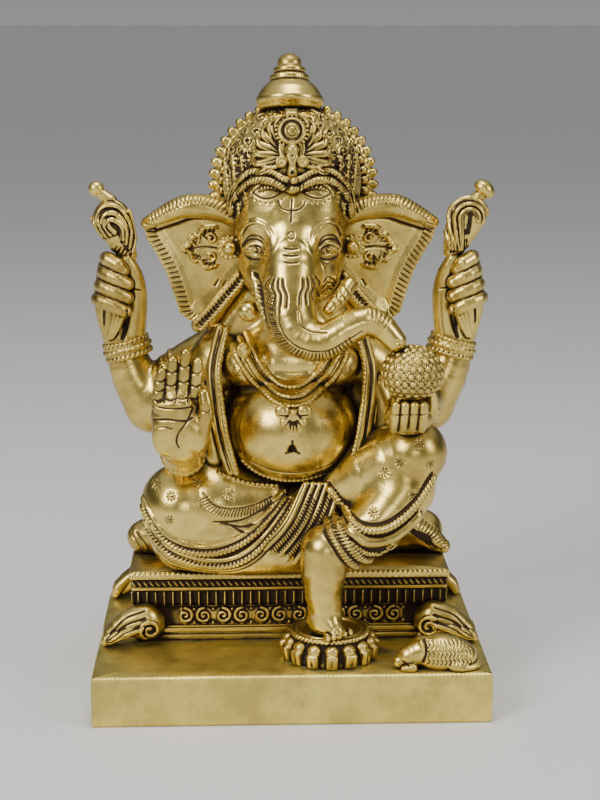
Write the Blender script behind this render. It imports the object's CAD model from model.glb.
"""Looks of the brass statue of a seated elephant-headed deity.

Lengths are in millimetres until a piece is handed to Blender. Points are measured from the middle of the
plinth's underside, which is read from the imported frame. The figure faces -Y, so its right is at -X.
"""
import math

import bpy
import numpy as np
import openvdb
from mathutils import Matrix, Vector
from mathutils.kdtree import KDTree


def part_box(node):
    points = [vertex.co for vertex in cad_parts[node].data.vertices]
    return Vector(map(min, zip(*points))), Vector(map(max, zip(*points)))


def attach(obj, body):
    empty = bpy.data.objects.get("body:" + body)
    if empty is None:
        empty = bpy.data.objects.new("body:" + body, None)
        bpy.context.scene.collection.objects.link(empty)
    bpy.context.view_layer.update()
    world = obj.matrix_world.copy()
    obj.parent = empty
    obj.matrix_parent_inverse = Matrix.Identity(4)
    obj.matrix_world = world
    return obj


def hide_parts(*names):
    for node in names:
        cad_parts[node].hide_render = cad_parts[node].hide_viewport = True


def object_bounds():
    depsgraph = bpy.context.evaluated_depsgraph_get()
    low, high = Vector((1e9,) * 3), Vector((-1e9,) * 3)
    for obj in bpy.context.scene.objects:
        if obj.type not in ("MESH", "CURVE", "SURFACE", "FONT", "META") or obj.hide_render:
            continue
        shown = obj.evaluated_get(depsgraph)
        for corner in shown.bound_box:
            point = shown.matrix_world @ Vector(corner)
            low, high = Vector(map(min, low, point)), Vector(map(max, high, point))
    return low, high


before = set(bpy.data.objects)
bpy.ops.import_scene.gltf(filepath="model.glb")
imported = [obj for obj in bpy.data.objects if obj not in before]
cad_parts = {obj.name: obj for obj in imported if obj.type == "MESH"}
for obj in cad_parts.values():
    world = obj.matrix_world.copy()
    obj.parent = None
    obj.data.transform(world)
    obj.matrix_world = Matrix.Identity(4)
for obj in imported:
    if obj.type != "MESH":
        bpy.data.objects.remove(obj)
cad_low, cad_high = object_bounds()
MM = 0.001
COARSE = 1.0
FAR = 40.0
STROKE_DEPTH = 0.5
STROKE_WIDTH = 0.88
pieces = []


# ---------------------------------------------------------------- places from the frame
def low(node):
    return np.array(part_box(node)[0]) / MM


def high(node):
    return np.array(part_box(node)[1]) / MM


def mid(*nodes):
    """The middle of the box round one or more CAD nodes."""
    lowest = np.min([low(node) for node in nodes], axis=0)
    highest = np.max([high(node) for node in nodes], axis=0)
    return (lowest + highest) / 2


MIDDLE = mid("head")[0]
GROUND = np.array([mid("plinth")[0], mid("plinth")[1], low("plinth")[2]])


def over(*nodes, step=0.36, margin=1.5):
    """A block of clay round some CAD nodes."""
    clay = Clay(np.min([low(node) for node in nodes], axis=0) - GROUND - margin,
            np.max([high(node) for node in nodes], axis=0) - GROUND + margin, step)
    clay.nodes = nodes
    return clay


# ---------------------------------------------------------------- clay: signed distances on a grid
def turned(degrees):
    """The rotation matrix for turns about X, then Y, then Z."""
    ax, ay, az = np.radians(degrees)
    rx = np.array([[1, 0, 0], [0, np.cos(ax), -np.sin(ax)], [0, np.sin(ax), np.cos(ax)]])
    ry = np.array([[np.cos(ay), 0, np.sin(ay)], [0, 1, 0], [-np.sin(ay), 0, np.cos(ay)]])
    rz = np.array([[np.cos(az), -np.sin(az), 0], [np.sin(az), np.cos(az), 0], [0, 0, 1]])
    return rz @ ry @ rx


def smooth_min(a, b, blend):
    """The smaller of two distances, rounded where they are less than the blend apart."""
    if blend <= 0:
        return np.minimum(a, b)
    near = np.maximum(blend - np.abs(a - b), 0) / blend
    return np.minimum(a, b) - near * near * blend / 4


def curve_through(points, spacing):
    """Points along a smooth line through the given ones, about the spacing apart."""
    p = np.array(points, float)
    if len(p) == 2:
        count = max(2, int(np.linalg.norm(p[1, :3] - p[0, :3]) / spacing) + 1)
        return p[0] + (p[1] - p[0]) * np.linspace(0, 1, count)[:, None]
    ends = np.vstack([2 * p[0] - p[1], p, 2 * p[-1] - p[-2]])
    line = []
    for i in range(1, len(ends) - 2):
        a, b, c, d = ends[i - 1:i + 3]
        count = max(1, int(np.linalg.norm((c - b)[:3]) / spacing))
        t = (np.arange(count) / count)[:, None]
        curve = 2 * b + (c - a) * t + (2 * a - 5 * b + 4 * c - d) * t ** 2 + (3 * b - a - 3 * c + d) * t ** 3
        line.append(0.5 * curve)
    return np.vstack(line + [p[-1:]])


def from_segment(x, y, z, start, way):
    """How far a grid is from a straight segment, and the share of its way where it is nearest."""
    x, y, z = x - start[0], y - start[1], z - start[2]
    share = np.clip((x * way[0] + y * way[1] + z * way[2]) / (way @ way + 1e-9), 0, 1)
    return np.sqrt((x - share * way[0]) ** 2 + (y - share * way[1]) ** 2 + (z - share * way[2]) ** 2), share


class Clay:
    """A block of clay that shapes are pressed into. Distances are negative inside."""

    def __init__(self, lowest, highest, step):
        self.low, self.step = np.array(lowest, float), step * COARSE
        self.strokes = []
        self.facing = -1    # -1: lines are laid on the front face, 1: on the back
        count = np.ceil((np.array(highest, float) - self.low) / self.step).astype(int) + 1
        self.field = np.full(count, FAR, np.float32)

    def put(self, distance, lowest, highest, blend=0.0, cut=False):
        """Adds a shape, or cuts it away. Distance takes the open grids of x, y and z."""
        margin = blend + 2 * self.step
        size = np.array(self.field.shape)
        first = np.clip(((np.array(lowest) - margin - self.low) / self.step).astype(int), 0, size)
        last = np.clip(((np.array(highest) + margin - self.low) / self.step).astype(int) + 2, 0, size)
        if np.any(last <= first):
            return
        where = tuple(slice(a, b) for a, b in zip(first, last))
        axes = [(self.low[k] + self.step * np.arange(first[k],
                last[k])).astype(np.float32) for k in range(3)]
        x, y, z = axes[0][:, None, None], axes[1][None, :, None], axes[2][None, None, :]
        new = distance(x, y, z)
        if cut:
            self.field[where] = -smooth_min(-self.field[where], new, blend)
        else:
            self.field[where] = smooth_min(self.field[where], new, blend)

    def ellipsoid(self, centre, radii, turn=(0, 0, 0), blend=0.0, cut=False):
        matrix, radii = turned(turn), np.array(radii, float)
        centre = np.array(centre, float)
        reach = np.sqrt(((matrix * radii) ** 2).sum(axis=1))

        def distance(x, y, z):
            x, y, z = x - centre[0], y - centre[1], z - centre[2]
            near, far = 0, 0
            for k in range(3):
                along = x * matrix[0, k] + y * matrix[1, k] + z * matrix[2, k]
                near = near + (along / radii[k]) ** 2
                far = far + (along / radii[k] ** 2) ** 2
            near, far = np.sqrt(near), np.sqrt(far)
            return near * (near - 1) / (far + 1e-6)

        self.put(distance, centre - reach, centre + reach, blend, cut)

    def ball(self, centre, radius, blend=0.0):
        self.ellipsoid(centre, (radius, radius, radius), blend=blend)

    def limb(self, *joints, blend=0.0):
        """A round limb along a smooth line through joints of (x, y, z, radius)."""
        line = curve_through(joints, 0.5 * min(joint[3] for joint in joints) + 1.0)
        points, radii = line[:, :3], line[:, 3]

        def distance(x, y, z):
            best = None
            for a, b, radius_a, radius_b in zip(points, points[1:], radii, radii[1:]):
                way = b - a
                d, t = from_segment(x, y, z, a, way)
                d = d - (radius_a + t * (radius_b - radius_a))
                best = d if best is None else np.minimum(best, d)
            return best

        widest = radii.max()
        self.put(distance, points.min(axis=0) - widest, points.max(axis=0) + widest, blend)

    def ring(self, centre, axis, radius, thickness, blend=0.0):
        axis = np.array(axis, float) / np.linalg.norm(axis)
        centre = np.array(centre, float)

        def distance(x, y, z):
            x, y, z = x - centre[0], y - centre[1], z - centre[2]
            along = x * axis[0] + y * axis[1] + z * axis[2]
            out = np.sqrt(np.maximum(x * x + y * y + z * z - along * along, 0)) - radius
            return np.sqrt(out * out + along * along) - thickness

        reach = radius + thickness
        self.put(distance, centre - reach, centre + reach, blend)

    def block(self, centre, half, turn=(0, 0, 0), rounding=0.5, blend=0.0):
        matrix, half = turned(turn), np.array(half, float)
        centre = np.array(centre, float)
        reach = (np.abs(matrix) * half).sum(axis=1)

        def distance(x, y, z):
            x, y, z = x - centre[0], y - centre[1], z - centre[2]
            outside, inside = 0, -FAR
            for k in range(3):
                along = np.abs(x * matrix[0, k] + y * matrix[1, k] + z * matrix[2, k]) - half[k] + rounding
                outside = outside + np.maximum(along, 0) ** 2
                inside = np.maximum(inside, along)
            return np.sqrt(outside) + np.minimum(inside, 0) - rounding

        self.put(distance, centre - reach, centre + reach, blend)

    def lathe(self, centre, profile, lean=0.0):
        """A turned shape: profile is a list of (height, radius), leaning back by some degrees."""
        matrix = turned((-lean, 0, 0))
        axis, centre = matrix[:, 2], np.array(centre, float)
        heights, radii = np.array(profile, float).T
        reach = max(radii.max(), abs(heights).max()) + 2

        def distance(x, y, z):
            x, y, z = x - centre[0], y - centre[1], z - centre[2]
            along = x * axis[0] + y * axis[1] + z * axis[2]
            out = np.sqrt(np.maximum(x * x + y * y + z * z - along * along, 0))
            side = (out - np.interp(along, heights, radii)) * 0.75
            return np.maximum(side, np.maximum(heights[0] - along, along - heights[-1]))

        self.put(distance, centre - reach, centre + reach)

    def keep_above(self, z_floor):
        z = self.low[2] + self.step * np.arange(self.field.shape[2])
        self.field = np.maximum(self.field, (z_floor - z)[None, None, :].astype(np.float32))

    def plate(self, outline, y, thickness, dish):
        """A flat leaf with the (x, z) outline, standing across Y, its middle dished back."""
        edge = np.array(outline, float)

        def distance(x, y_grid, z):
            x2, z2 = np.broadcast_arrays(x[:, 0, :], z[0])
            best, inside = np.full(x2.shape, 1e9), np.zeros(x2.shape, bool)
            for (ax, az), (bx, bz) in zip(edge, np.roll(edge, -1, axis=0)):
                wx, wz = bx - ax, bz - az
                t = np.clip(((x2 - ax) * wx + (z2 - az) * wz) / (wx * wx + wz * wz + 1e-9), 0, 1)
                best = np.minimum(best, (x2 - ax - t * wx) ** 2 + (z2 - az - t * wz) ** 2)
                crosses = ((az > z2) != (bz > z2)) & (x2 < (bx - ax) * (z2 - az) / (bz - az + 1e-12) + ax)
                inside ^= crosses
            flat = np.sqrt(best) * np.where(inside, -1, 1)
            middle = y + dish * np.clip(-flat / 7.0, 0, 1)
            deep = np.abs(y_grid - middle[:, None, :]) - thickness / 2
            return np.maximum(flat[:, None, :], deep).astype(np.float32)

        reach = thickness / 2 + abs(dish)
        lowest = (edge[:, 0].min(), y - reach, edge[:, 1].min())
        highest = (edge[:, 0].max(), y + reach, edge[:, 1].max())
        self.put(distance, lowest, highest)

    def front(self, x, z):
        """The y of the face that is being worked at a point (x, z), or None where there is no clay."""
        i, k = round((x - self.low[0]) / self.step), round((z - self.low[2]) / self.step)
        if not (0 <= i < self.field.shape[0] and 0 <= k < self.field.shape[2]):
            return None
        column = self.field[i, ::-self.facing, k]
        inside = np.flatnonzero(column < 0)
        if len(inside) == 0 or inside[0] == 0:
            return None
        j = inside[0]
        depth = j - 1 + column[j - 1] / (column[j - 1] - column[j])
        if self.facing > 0:
            depth = len(column) - 1 - depth
        return self.low[1] + self.step * depth

    def draped(self, points, spacing=0.6):
        """A smooth line through (x, z) points, laid on the face that is being worked."""
        flat = curve_through([(x, 0.0, z) for x, z in points], spacing)
        line = []
        for x, _, z in flat:
            y = self.front(x, z)
            if y is not None:
                line.append((x, y, z))
        line = np.array(line).reshape(-1, 3)
        for _ in range(2):
            if len(line) > 2:
                line[1:-1, 1] = (line[:-2, 1] + 2 * line[1:-1, 1] + line[2:, 1]) / 4
        return line

    def tube(self, line, radius, blend=0.3):
        """A thin tube along a dense line."""
        for a, b in zip(line, line[1:]):
            self.capsule(a, b, radius, blend)

    def capsule(self, a, b, radius, blend):
        way = b - a

        def distance(x, y, z):
            return from_segment(x, y, z, a, way)[0] - radius

        self.put(distance, np.minimum(a, b) - radius, np.maximum(a, b) + radius, blend)

    def relief(self, points, radius, lift=0.0, blend=0.3):
        """A raised line on the face that is being worked."""
        self.tube(self.draped(points) + (0, self.facing * lift, 0), radius, blend)

    def beads(self, points, radius, pitch, lift=0.0, blend=0.1):
        for x, y, z in stations(self.draped(points, 0.3), pitch)[0]:
            self.ball((x, y + self.facing * lift, z), radius, blend)

    def bead_ring(self, centre, axis, radius, size, count):
        for spot in circle_points(centre, axis, radius, count):
            self.ball(spot, size, 0.1)

    def scratch(self, line, width=0.42):
        """An engraved line given in space."""
        if len(line):
            self.strokes.append((np.array(line, float), width * STROKE_WIDTH))

    def engrave(self, *points, width=0.42):
        """An engraved line through (x, z) points."""
        self.scratch(self.draped(points, 0.25), width)

    def hatch(self, points, length, pitch, slant=0.0, width=0.36):
        """Short engraved lines across a line of (x, z) points."""
        spots, ways = stations(self.draped(points, 0.3), pitch)
        for (x, _, z), (wx, _, wz) in zip(spots, ways):
            size = math.hypot(wx, wz) + 1e-9
            wx, wz = wx / size, wz / size
            dx, dz = -wz * length / 2 + wx * slant, wx * length / 2 + wz * slant
            self.engrave((x - dx, z - dz), (x + dx, z + dz), width=width)

    def rope(self, points, radius, pitch=1.8, lift=0.2, slant=0.5):
        """A raised twisted rope along (x, z) points."""
        self.relief(points, radius, lift)
        self.hatch(points, 2.2 * radius, pitch, slant)

    def rope_ring(self, centre, axis, radius, thickness, pitch=1.8):
        """A twisted ring round a limb."""
        self.ring(centre, axis, radius, thickness, 0.2)
        axis = np.array(axis, float) / np.linalg.norm(axis)
        centre = np.array(centre, float)
        count = max(6, round(2 * math.pi * radius / pitch))
        for spot in circle_points(centre, axis, radius, count):
            out = (spot - centre) / radius
            around = np.cross(axis, out)
            line = []
            for angle in np.radians(np.linspace(-80, 80, 7)):
                swing = out * math.cos(angle) + axis * math.sin(angle)
                line.append(spot + swing * thickness + around * 0.5 * math.sin(angle))
            self.scratch(curve_through(line, 0.3), 0.32)

    def read(self, values, points):
        return read_grid(values, self.low, self.step, points)

    def surface(self):
        """Points, faces and normals, and how deep each point sits in a hollow or a stroke."""
        band = 3 * self.step
        grid = openvdb.FloatGrid(band)
        grid.copyFromArray(np.clip(self.field, -band, band))
        points, quads = grid.convertToQuads(0.0)[:2]
        points = np.array(points, float) * self.step + self.low
        solid = np.clip(0.5 - self.field / (2 * self.step), 0, 1)
        hollow = self.read(blurred(solid, max(1, round(1.0 / self.step))), points) - 0.5
        quads = np.array(quads, int)
        normals = point_normals(points, quads)
        outward = self.read(self.field, points + normals * self.step) > 0
        if outward.mean() < 0.5:
            quads, normals = quads[:, ::-1], -normals
        ink = self.ink_at(points)
        points = points - normals * (ink * STROKE_DEPTH)[:, None]
        normals = point_normals(points, quads)
        return points, quads, normals, hollow * 3.0, ink

    def ink_at(self, points):
        """How near each point is to an engraved line, from 0 to 1."""
        ink = np.zeros(len(points))
        total = sum(len(line) for line, _ in self.strokes)
        if total == 0:
            return ink
        tree, widths = KDTree(total), []
        for line, width in self.strokes:
            for spot in line:
                tree.insert(spot, len(widths))
                widths.append(width)
        tree.balance()
        for index, point in enumerate(points.tolist()):
            _, nearest, distance = tree.find(point)
            if distance < 1.5:
                ink[index] = math.exp(-(distance / widths[nearest]) ** 2)
        return ink


def read_grid(values, low_corner, step, points):
    """Values on a grid, read between its points."""
    at_cell = (points - low_corner) / step
    base = np.clip(np.floor(at_cell).astype(int), 0, np.array(values.shape) - 2)
    part = np.clip(at_cell - base, 0, 1)
    total = np.zeros(len(points), np.float32)
    for corner in np.ndindex(2, 2, 2):
        weight = np.prod(np.where(corner, part, 1 - part), axis=1)
        i, j, k = (base + corner).T
        total += weight * values[i, j, k]
    return total


def circle_points(centre, axis, radius, count):
    """Points evenly round a circle."""
    axis = np.array(axis, float) / np.linalg.norm(axis)
    side = np.cross(axis, (0.3, 1.0, 0.2))
    side = side / np.linalg.norm(side)
    other = np.cross(axis, side)
    turns = 2 * np.pi * np.arange(count) / count
    return np.array(centre) + radius * (np.cos(turns)[:, None] * side + np.sin(turns)[:, None] * other)


def stations(line, pitch):
    """Points at a steady pitch along a dense line, and the line's direction at each."""
    if len(line) < 2:
        return np.zeros((0, 3)), np.zeros((0, 3))
    steps = np.linalg.norm(np.diff(line, axis=0), axis=1)
    along = np.concatenate([[0], np.cumsum(steps)])
    count = max(1, round(along[-1] / pitch))
    at = (np.arange(count) + 0.5) * along[-1] / count
    spots = np.stack([np.interp(at, along, line[:, k]) for k in range(3)], axis=1)
    ahead = np.stack([np.interp(at + 0.4, along, line[:, k]) for k in range(3)], axis=1)
    behind = np.stack([np.interp(at - 0.4, along, line[:, k]) for k in range(3)], axis=1)
    return spots, ahead - behind


def arc(centre, radius, first, last):
    """(x, z) points on an arc between two angles in degrees, counted from +X towards +Z."""
    turns = np.radians(np.linspace(first, last, max(5, int(abs(last - first) / 20))))
    return [(centre[0] + radius * math.cos(t), centre[1] + radius * math.sin(t)) for t in turns]


def spiral(centre, radius, first, turns, shrink=0.25):
    """(x, z) points on a spiral that winds in to the centre; negative turns wind clockwise."""
    angles = np.linspace(0, turns * 2 * math.pi, max(8, int(abs(turns) * 12)))
    share = np.linspace(1, shrink, len(angles))
    start = math.radians(first)
    return [(centre[0] + radius * s * math.cos(start + a),
            centre[1] + radius * s * math.sin(start + a)) for s, a in zip(share, angles)]


def at(x, *rest):
    """A point whose x is given from the figure's middle."""
    return (MIDDLE + x, *rest)


def across(side, *points):
    """Points given from the figure's middle for its left (side 1), or mirrored to its right (side -1)."""
    return [at(side * x, *rest) for x, *rest in points]


def moved(points, dx, dz):
    """(x, z) points moved along X and Z."""
    return [(x + dx, z + dz) for x, z in points]


def blurred(values, radius):
    """A box blur by running sums along each axis."""
    for axis in range(3):
        padded = np.concatenate([np.repeat(values.take([0], axis), radius + 1, axis), values,
                np.repeat(values.take([-1], axis), radius, axis)], axis)
        sums = np.cumsum(padded, axis=axis, dtype=np.float32)
        width = 2 * radius + 1
        count = values.shape[axis]
        values = (sums.take(range(width, width + count), axis) - sums.take(range(count), axis)) / width
    return values


def point_normals(points, faces):
    """Unit normals at the points of a mesh of quads."""
    diagonal_a = points[faces[:, 2]] - points[faces[:, 0]]
    diagonal_b = points[faces[:, 3]] - points[faces[:, 1]]
    face_normals = np.cross(diagonal_a, diagonal_b)
    normals = np.zeros_like(points)
    for k in range(faces.shape[1]):
        for axis in range(3):
            normals[:, axis] += np.bincount(faces[:, k], face_normals[:, axis], len(points))
    return normals / (np.linalg.norm(normals, axis=1, keepdims=True) + 1e-12)


# ---------------------------------------------------------------- pieces
def publish(name, nodes, points, faces, normals, hollow, ink, slot="brass"):
    """Makes the Blender piece and puts it in the place of its CAD nodes."""
    mesh = bpy.data.meshes.new(name)
    mesh.from_pydata(((points + GROUND) * MM).tolist(), [], faces.tolist())
    mesh.polygons.foreach_set("use_smooth", [True] * len(mesh.polygons))
    for title, values in (("hollow", hollow), ("ink", ink)):
        layer = mesh.attributes.new(title, "FLOAT", "POINT")
        layer.data.foreach_set("value", np.asarray(values, np.float32))
    piece = bpy.data.objects.new(name, mesh)
    bpy.context.scene.collection.objects.link(piece)
    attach(piece, "root")
    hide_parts(*nodes)
    pieces.append((piece, points, normals))


def cast(name, clay):
    """Finishes a piece of clay as a brass piece."""
    SPACE.fill(clay)
    publish(name, clay.nodes, *clay.surface())


class Space:
    """Which parts of the object's box are solid, on a coarse grid, to tell how shut in each point is."""

    def __init__(self):
        self.low, self.step = cad_box[0] - 8.0, 1.0
        count = np.ceil((cad_box[1] + 8.0 - self.low) / self.step).astype(int) + 1
        self.solid = np.zeros(count, np.float32)

    def region(self, lowest, highest):
        first = np.clip(np.ceil((lowest - self.low) / self.step).astype(int), 0, None)
        last = np.minimum(np.floor((highest - self.low) / self.step).astype(int) + 1, self.solid.shape)
        return first, last

    def fill(self, clay):
        top = clay.low + clay.step * (np.array(clay.field.shape) - 1)
        first, last = self.region(clay.low, top)
        axes = [self.low[k] + self.step * np.arange(first[k], last[k]) for k in range(3)]
        grid = np.stack(np.meshgrid(*axes, indexing="ij"), axis=-1).reshape(-1, 3)
        filled = np.clip(0.5 - clay.read(clay.field, grid), 0, 1).reshape([len(axis) for axis in axes])
        where = tuple(slice(a, b) for a, b in zip(first, last))
        self.solid[where] = np.maximum(self.solid[where], filled)

    def fill_box(self, lowest, highest):
        first, last = self.region(np.array(lowest), np.array(highest))
        self.solid[tuple(slice(a, b) for a, b in zip(first, last))] = 1


cad_box = np.array([cad_low, cad_high]) / MM - GROUND
SPACE = Space()


def store_shade():
    """Gives every point how shut in it is, near by and further round."""
    near, wide = blurred(blurred(SPACE.solid, 1), 1), blurred(blurred(SPACE.solid, 4), 3)
    for piece, points, normals in pieces:
        close = read_grid(near, SPACE.low, SPACE.step, points + normals * 1.2)
        far = read_grid(wide, SPACE.low, SPACE.step, points + normals * 2.5)
        shut = np.clip((close - 0.22) * 1.6, 0, 1) * 0.55 + np.clip((far - 0.36) * 2.6, 0, 1) * 0.6
        layer = piece.data.attributes.new("shade", "FLOAT", "POINT")
        layer.data.foreach_set("value", np.clip(shut, 0, 1).astype(np.float32))


# ---------------------------------------------------------------- head, trunk and tusks
def eye(clay, side):
    """An almond eye between engraved lids, under a thin engraved brow."""
    x = MIDDLE + side * 13.4
    clay.ellipsoid((x, -24.6, 170.6), (5.4, 4.2, 4.2), blend=3.0, cut=True)
    clay.ellipsoid((x, -17.6, 170.6), (4.2, 3.0, 2.3), blend=1.0)
    inner, outer = MIDDLE + side * 8.6, MIDDLE + side * 17.6
    upper = [(inner, 168.6), (x - side * 2.6, 171.9), (x + side * 1.2, 172.6), (outer, 170.2)]
    lower = [(inner, 168.6), (x - side * 1.6, 168.4), (x + side * 2.0, 168.6), (outer, 170.2)]
    clay.relief(upper, 0.5, 0.1, 0.3)
    clay.relief(lower, 0.45, 0.1, 0.3)
    clay.engrave(*[(px, pz - 0.75) for px, pz in upper[:3]], (outer, 169.8), width=0.36)
    for rise in (1.0, 2.3):
        clay.engrave((inner - side * 0.4, 169.0 + rise * 0.5), (x - side * 2.6, 172.4 + rise),
                (x + side * 1.8, 173.0 + rise), (outer + side * 0.6, 170.2 + rise * 0.4), width=0.42)
    clay.engrave((inner, 168.0), (x - side, 167.0), (x + side * 3, 167.4), (outer, 169.4), width=0.42)
    clay.engrave((inner + side, 167.0), (x, 165.6), (outer - side * 1.4, 167.4), width=0.3)
    clay.engrave(*arc((x - side * 0.2, 170.4), 0.9, 20, 340), width=0.32)
    brow = [at(side * 6.8, 171.4), at(side * 7.4, 175.6), at(side * 9.8, 178.6), at(side * 12.8, 179.8),
            at(side * 16.0, 178.4), at(side * 18.0, 174.6)]
    clay.relief([(px, pz + 0.8) for px, pz in brow], 0.6, -0.3, 1.2)
    clay.engrave(*brow, width=0.42)


def forehead_mark(clay):
    """A three-pronged ornament on the forehead over a small ring and three short bars."""
    x = MIDDLE - 0.6
    clay.engrave((x + 0.4, 189.0), (x + 0.2, 185.0), (x, 181.2), width=0.5)
    clay.engrave((x - 4.4, 188.6), (x - 4.2, 187.0), (x - 2.8, 185.6), (x, 185.0), (x + 2.8, 185.4),
            (x + 4.6, 186.8), (x + 5.0, 188.4), width=0.42)
    clay.engrave(*arc((x, 176.6), 1.25, 0, 340), width=0.38)
    for row, half in enumerate((2.4, 2.6, 2.4)):
        z = 172.2 - 2.3 * row
        clay.engrave((x - half, z), (x, z - 0.2), (x + half, z), width=0.5)


TRUNK = (
    (-0.6, -22.0, 170, 7.6), (-1.0, -26, 159, 9.2), (-0.6, -31, 148, 8.8), (3.2, -34.6, 141.2, 7.9),
    (11.5, -38, 140.0, 6.8), (19.4, -39, 144.6, 6.0), (26.6, -39, 147.6, 5.3), (32.6, -39.5, 145.0, 4.7),
    (36.6, -40, 140.6, 4.0),
)


def trunk_lines(clay):
    """Wavy strokes fan out from the trunk's root; a seam with cross hatches follows its outer bend."""
    for index, x in enumerate((-8.6, -6.6, -4.4, -2.2)):
        lean = -1.8 + 1.1 * index
        clay.engrave((x - lean * 0.6, 161.8), (x - 0.6, 159.0), (x + 0.6, 156.2), (x + lean * 0.2, 152.4),
                width=0.55)
    for index, x in enumerate((3.6, 5.8, 8.0, 10.0)):
        lean = -1.4 + 1.0 * index
        clay.engrave((x - lean * 0.5, 161.8), (x + 0.7, 159.0), (x - 0.5, 156.4), (x + lean * 0.5, 153.2),
                width=0.55)
    clay.hatch([(-8.6, 158.0), (-9.4, 152.0), (-8.4, 146.0), (-5.2, 140.0), (0.5, 135.4), (8.5, 133.6),
            (16.0, 136.0), (22.0, 140.4)], 5.6, 1.55, 0.3, 0.42)
    clay.engrave((-4.4, 152.5), (-4.4, 147.0), (-1.6, 141.4), (4.4, 138.0), (11.6, 137.6), (18.0, 140.6),
            (24.6, 144.6), width=0.42)
    clay.engrave((2.5, 151.0), (3.0, 147.0), (6.5, 144.6), (12.0, 144.4), width=0.36)
    clay.hatch([(26.0, 150.6), (30.4, 149.6), (34.0, 146.6)], 3.0, 1.5, 0.0, 0.34)


def brow_leaf(clay, side):
    """A leaf-shaped hatched panel under the brow band, with a dotted line below it."""
    top = across(side, (3.6, 191.6), (6.4, 193.8), (10.0, 194.2), (14.4, 191.0))
    foot = across(side, (3.6, 191.6), (6.8, 189.6), (10.6, 189.2), (14.4, 191.0))
    clay.engrave(*top, width=0.42)
    clay.engrave(*foot, width=0.42)
    clay.engrave(at(side * 4.2, 191.6), at(side * 8.2, 192.4), at(side * 12.4, 191.4), width=0.3)
    clay.hatch([at(side * 4.6, 192.6), at(side * 8.2, 193.2), at(side * 12.2, 192.0)], 2.4, 1.3, 0.4, 0.26)
    for x, z in ((3.4, 188.8), (5.2, 188.0), (7.2, 187.6), (9.2, 187.5), (11.2, 187.8), (13.0, 188.6),
            (14.6, 189.8)):
        clay.engrave(at(side * x, z), at(side * (x + 0.3), z + 0.1), width=0.3)


def mouth_and_tusks(clay):
    """The mouth's corner and the broken tusk at the figure's right; the whole, banded tusk at its left."""
    clay.limb(at(-13.4, -20.0, 160.0, 2.2), at(-11.6, -23.0, 154.0, 2.0), at(-9.8, -26.0, 147.0, 1.6),
            at(-8.0, -27.5, 142.5, 1.2), blend=0.8)
    clay.ellipsoid(at(-15.6, -19.6, 148.0), (4.4, 4.0, 3.8), (0, 20, 0), blend=0.8)
    clay.ellipsoid(at(-13.2, -23.4, 161.6), (1.3, 1.6, 1.0), blend=0.8, cut=True)
    clay.engrave(at(-14.0, 162.6), at(-12.4, 161.0), at(-10.6, 156.0), at(-9.6, 149.0), width=0.6)
    clay.limb((21.6, -19.0, 157.4, 3.0), (17.6, -24.0, 153.0, 2.8), (13.8, -27.6, 149.6, 2.3), blend=0.5)
    for x, z in ((20.4, 156.4), (18.8, 154.8), (17.2, 153.4), (15.6, 152.0)):
        clay.engrave((x - 1.6, z + 2.2), (x + 0.3, z - 0.2), (x + 1.6, z - 2.6), width=0.42)
    for index in range(4):
        z = 160.4 - 2.2 * index
        clay.engrave((12.0, z - 1.4), (13.6, z + 0.4), (15.6, z - 0.4), (16.6, z - 2.2), width=0.4)


def make_head():
    clay = over("head", "trunk", "right_tusk", "left_tusk", step=0.34)
    clay.ellipsoid(at(0, -4, 172), (20.4, 19.0, 24))
    clay.ellipsoid(at(0, -8.6, 181), (19.4, 14.6, 17.5), blend=4)
    clay.ellipsoid(at(0, -9, 161), (17.6, 13.0, 13), blend=5)
    clay.limb(at(0, -14.5, 182, 9.0), at(0, -18.0, 172, 8.6), at(0, -22.0, 163, 9.0), blend=9)
    for side in (-1, 1):
        clay.ellipsoid(at(side * 7.5, -17.4, 184.5), (8.5, 5.0, 8.0), blend=4)
        clay.ellipsoid(at(side * 8.4, -16.0, 190.5), (7.6, 5.8, 6.4), blend=3)
        clay.ellipsoid(at(side * 10.5, -16.5, 160.5), (6.0, 5.6, 6.6), blend=5)
        eye(clay, side)
        brow_leaf(clay, side)
    clay.limb(*[(MIDDLE + x if x < 5 else x, y, z, r) for x, y, z, r in TRUNK], blend=5.0)
    mouth_and_tusks(clay)
    clay.limb(at(-3, -16, 149, 5.0), at(3, -17, 147, 5.0), blend=2)
    clay.ellipsoid((37.8, -44.6, 140.6), (1.6, 1.4, 1.2), blend=0.4, cut=True)
    forehead_mark(clay)
    trunk_lines(clay)
    for side in (-1, 1):
        clay.hatch([at(side * 18.4, 184.0), at(side * 19.2, 176.0)], 2.4, 1.1, 0.3, 0.3)
    clay.facing = 1
    for index in range(-6, 7):
        x = 2.6 * index
        clay.engrave(at(x, 182.0), at(0.96 * x, 172.0), at(0.84 * x + 0.8, 164.0), at(0.8 * x, 154.0),
                width=0.45)
    cast("head_and_trunk", clay)


# ---------------------------------------------------------------- ears
EAR_EDGE = ((17, 177), (22, 182), (29, 186.0), (38, 187.0), (46, 183.6), (54.6, 178.2), (53.4, 172),
        (49.6, 165.6), (46.2, 159), (43.6, 151), (41.4, 143.6), (37.5, 140.8), (30, 143), (20, 152),
        (14, 160), (13, 170))


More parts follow.
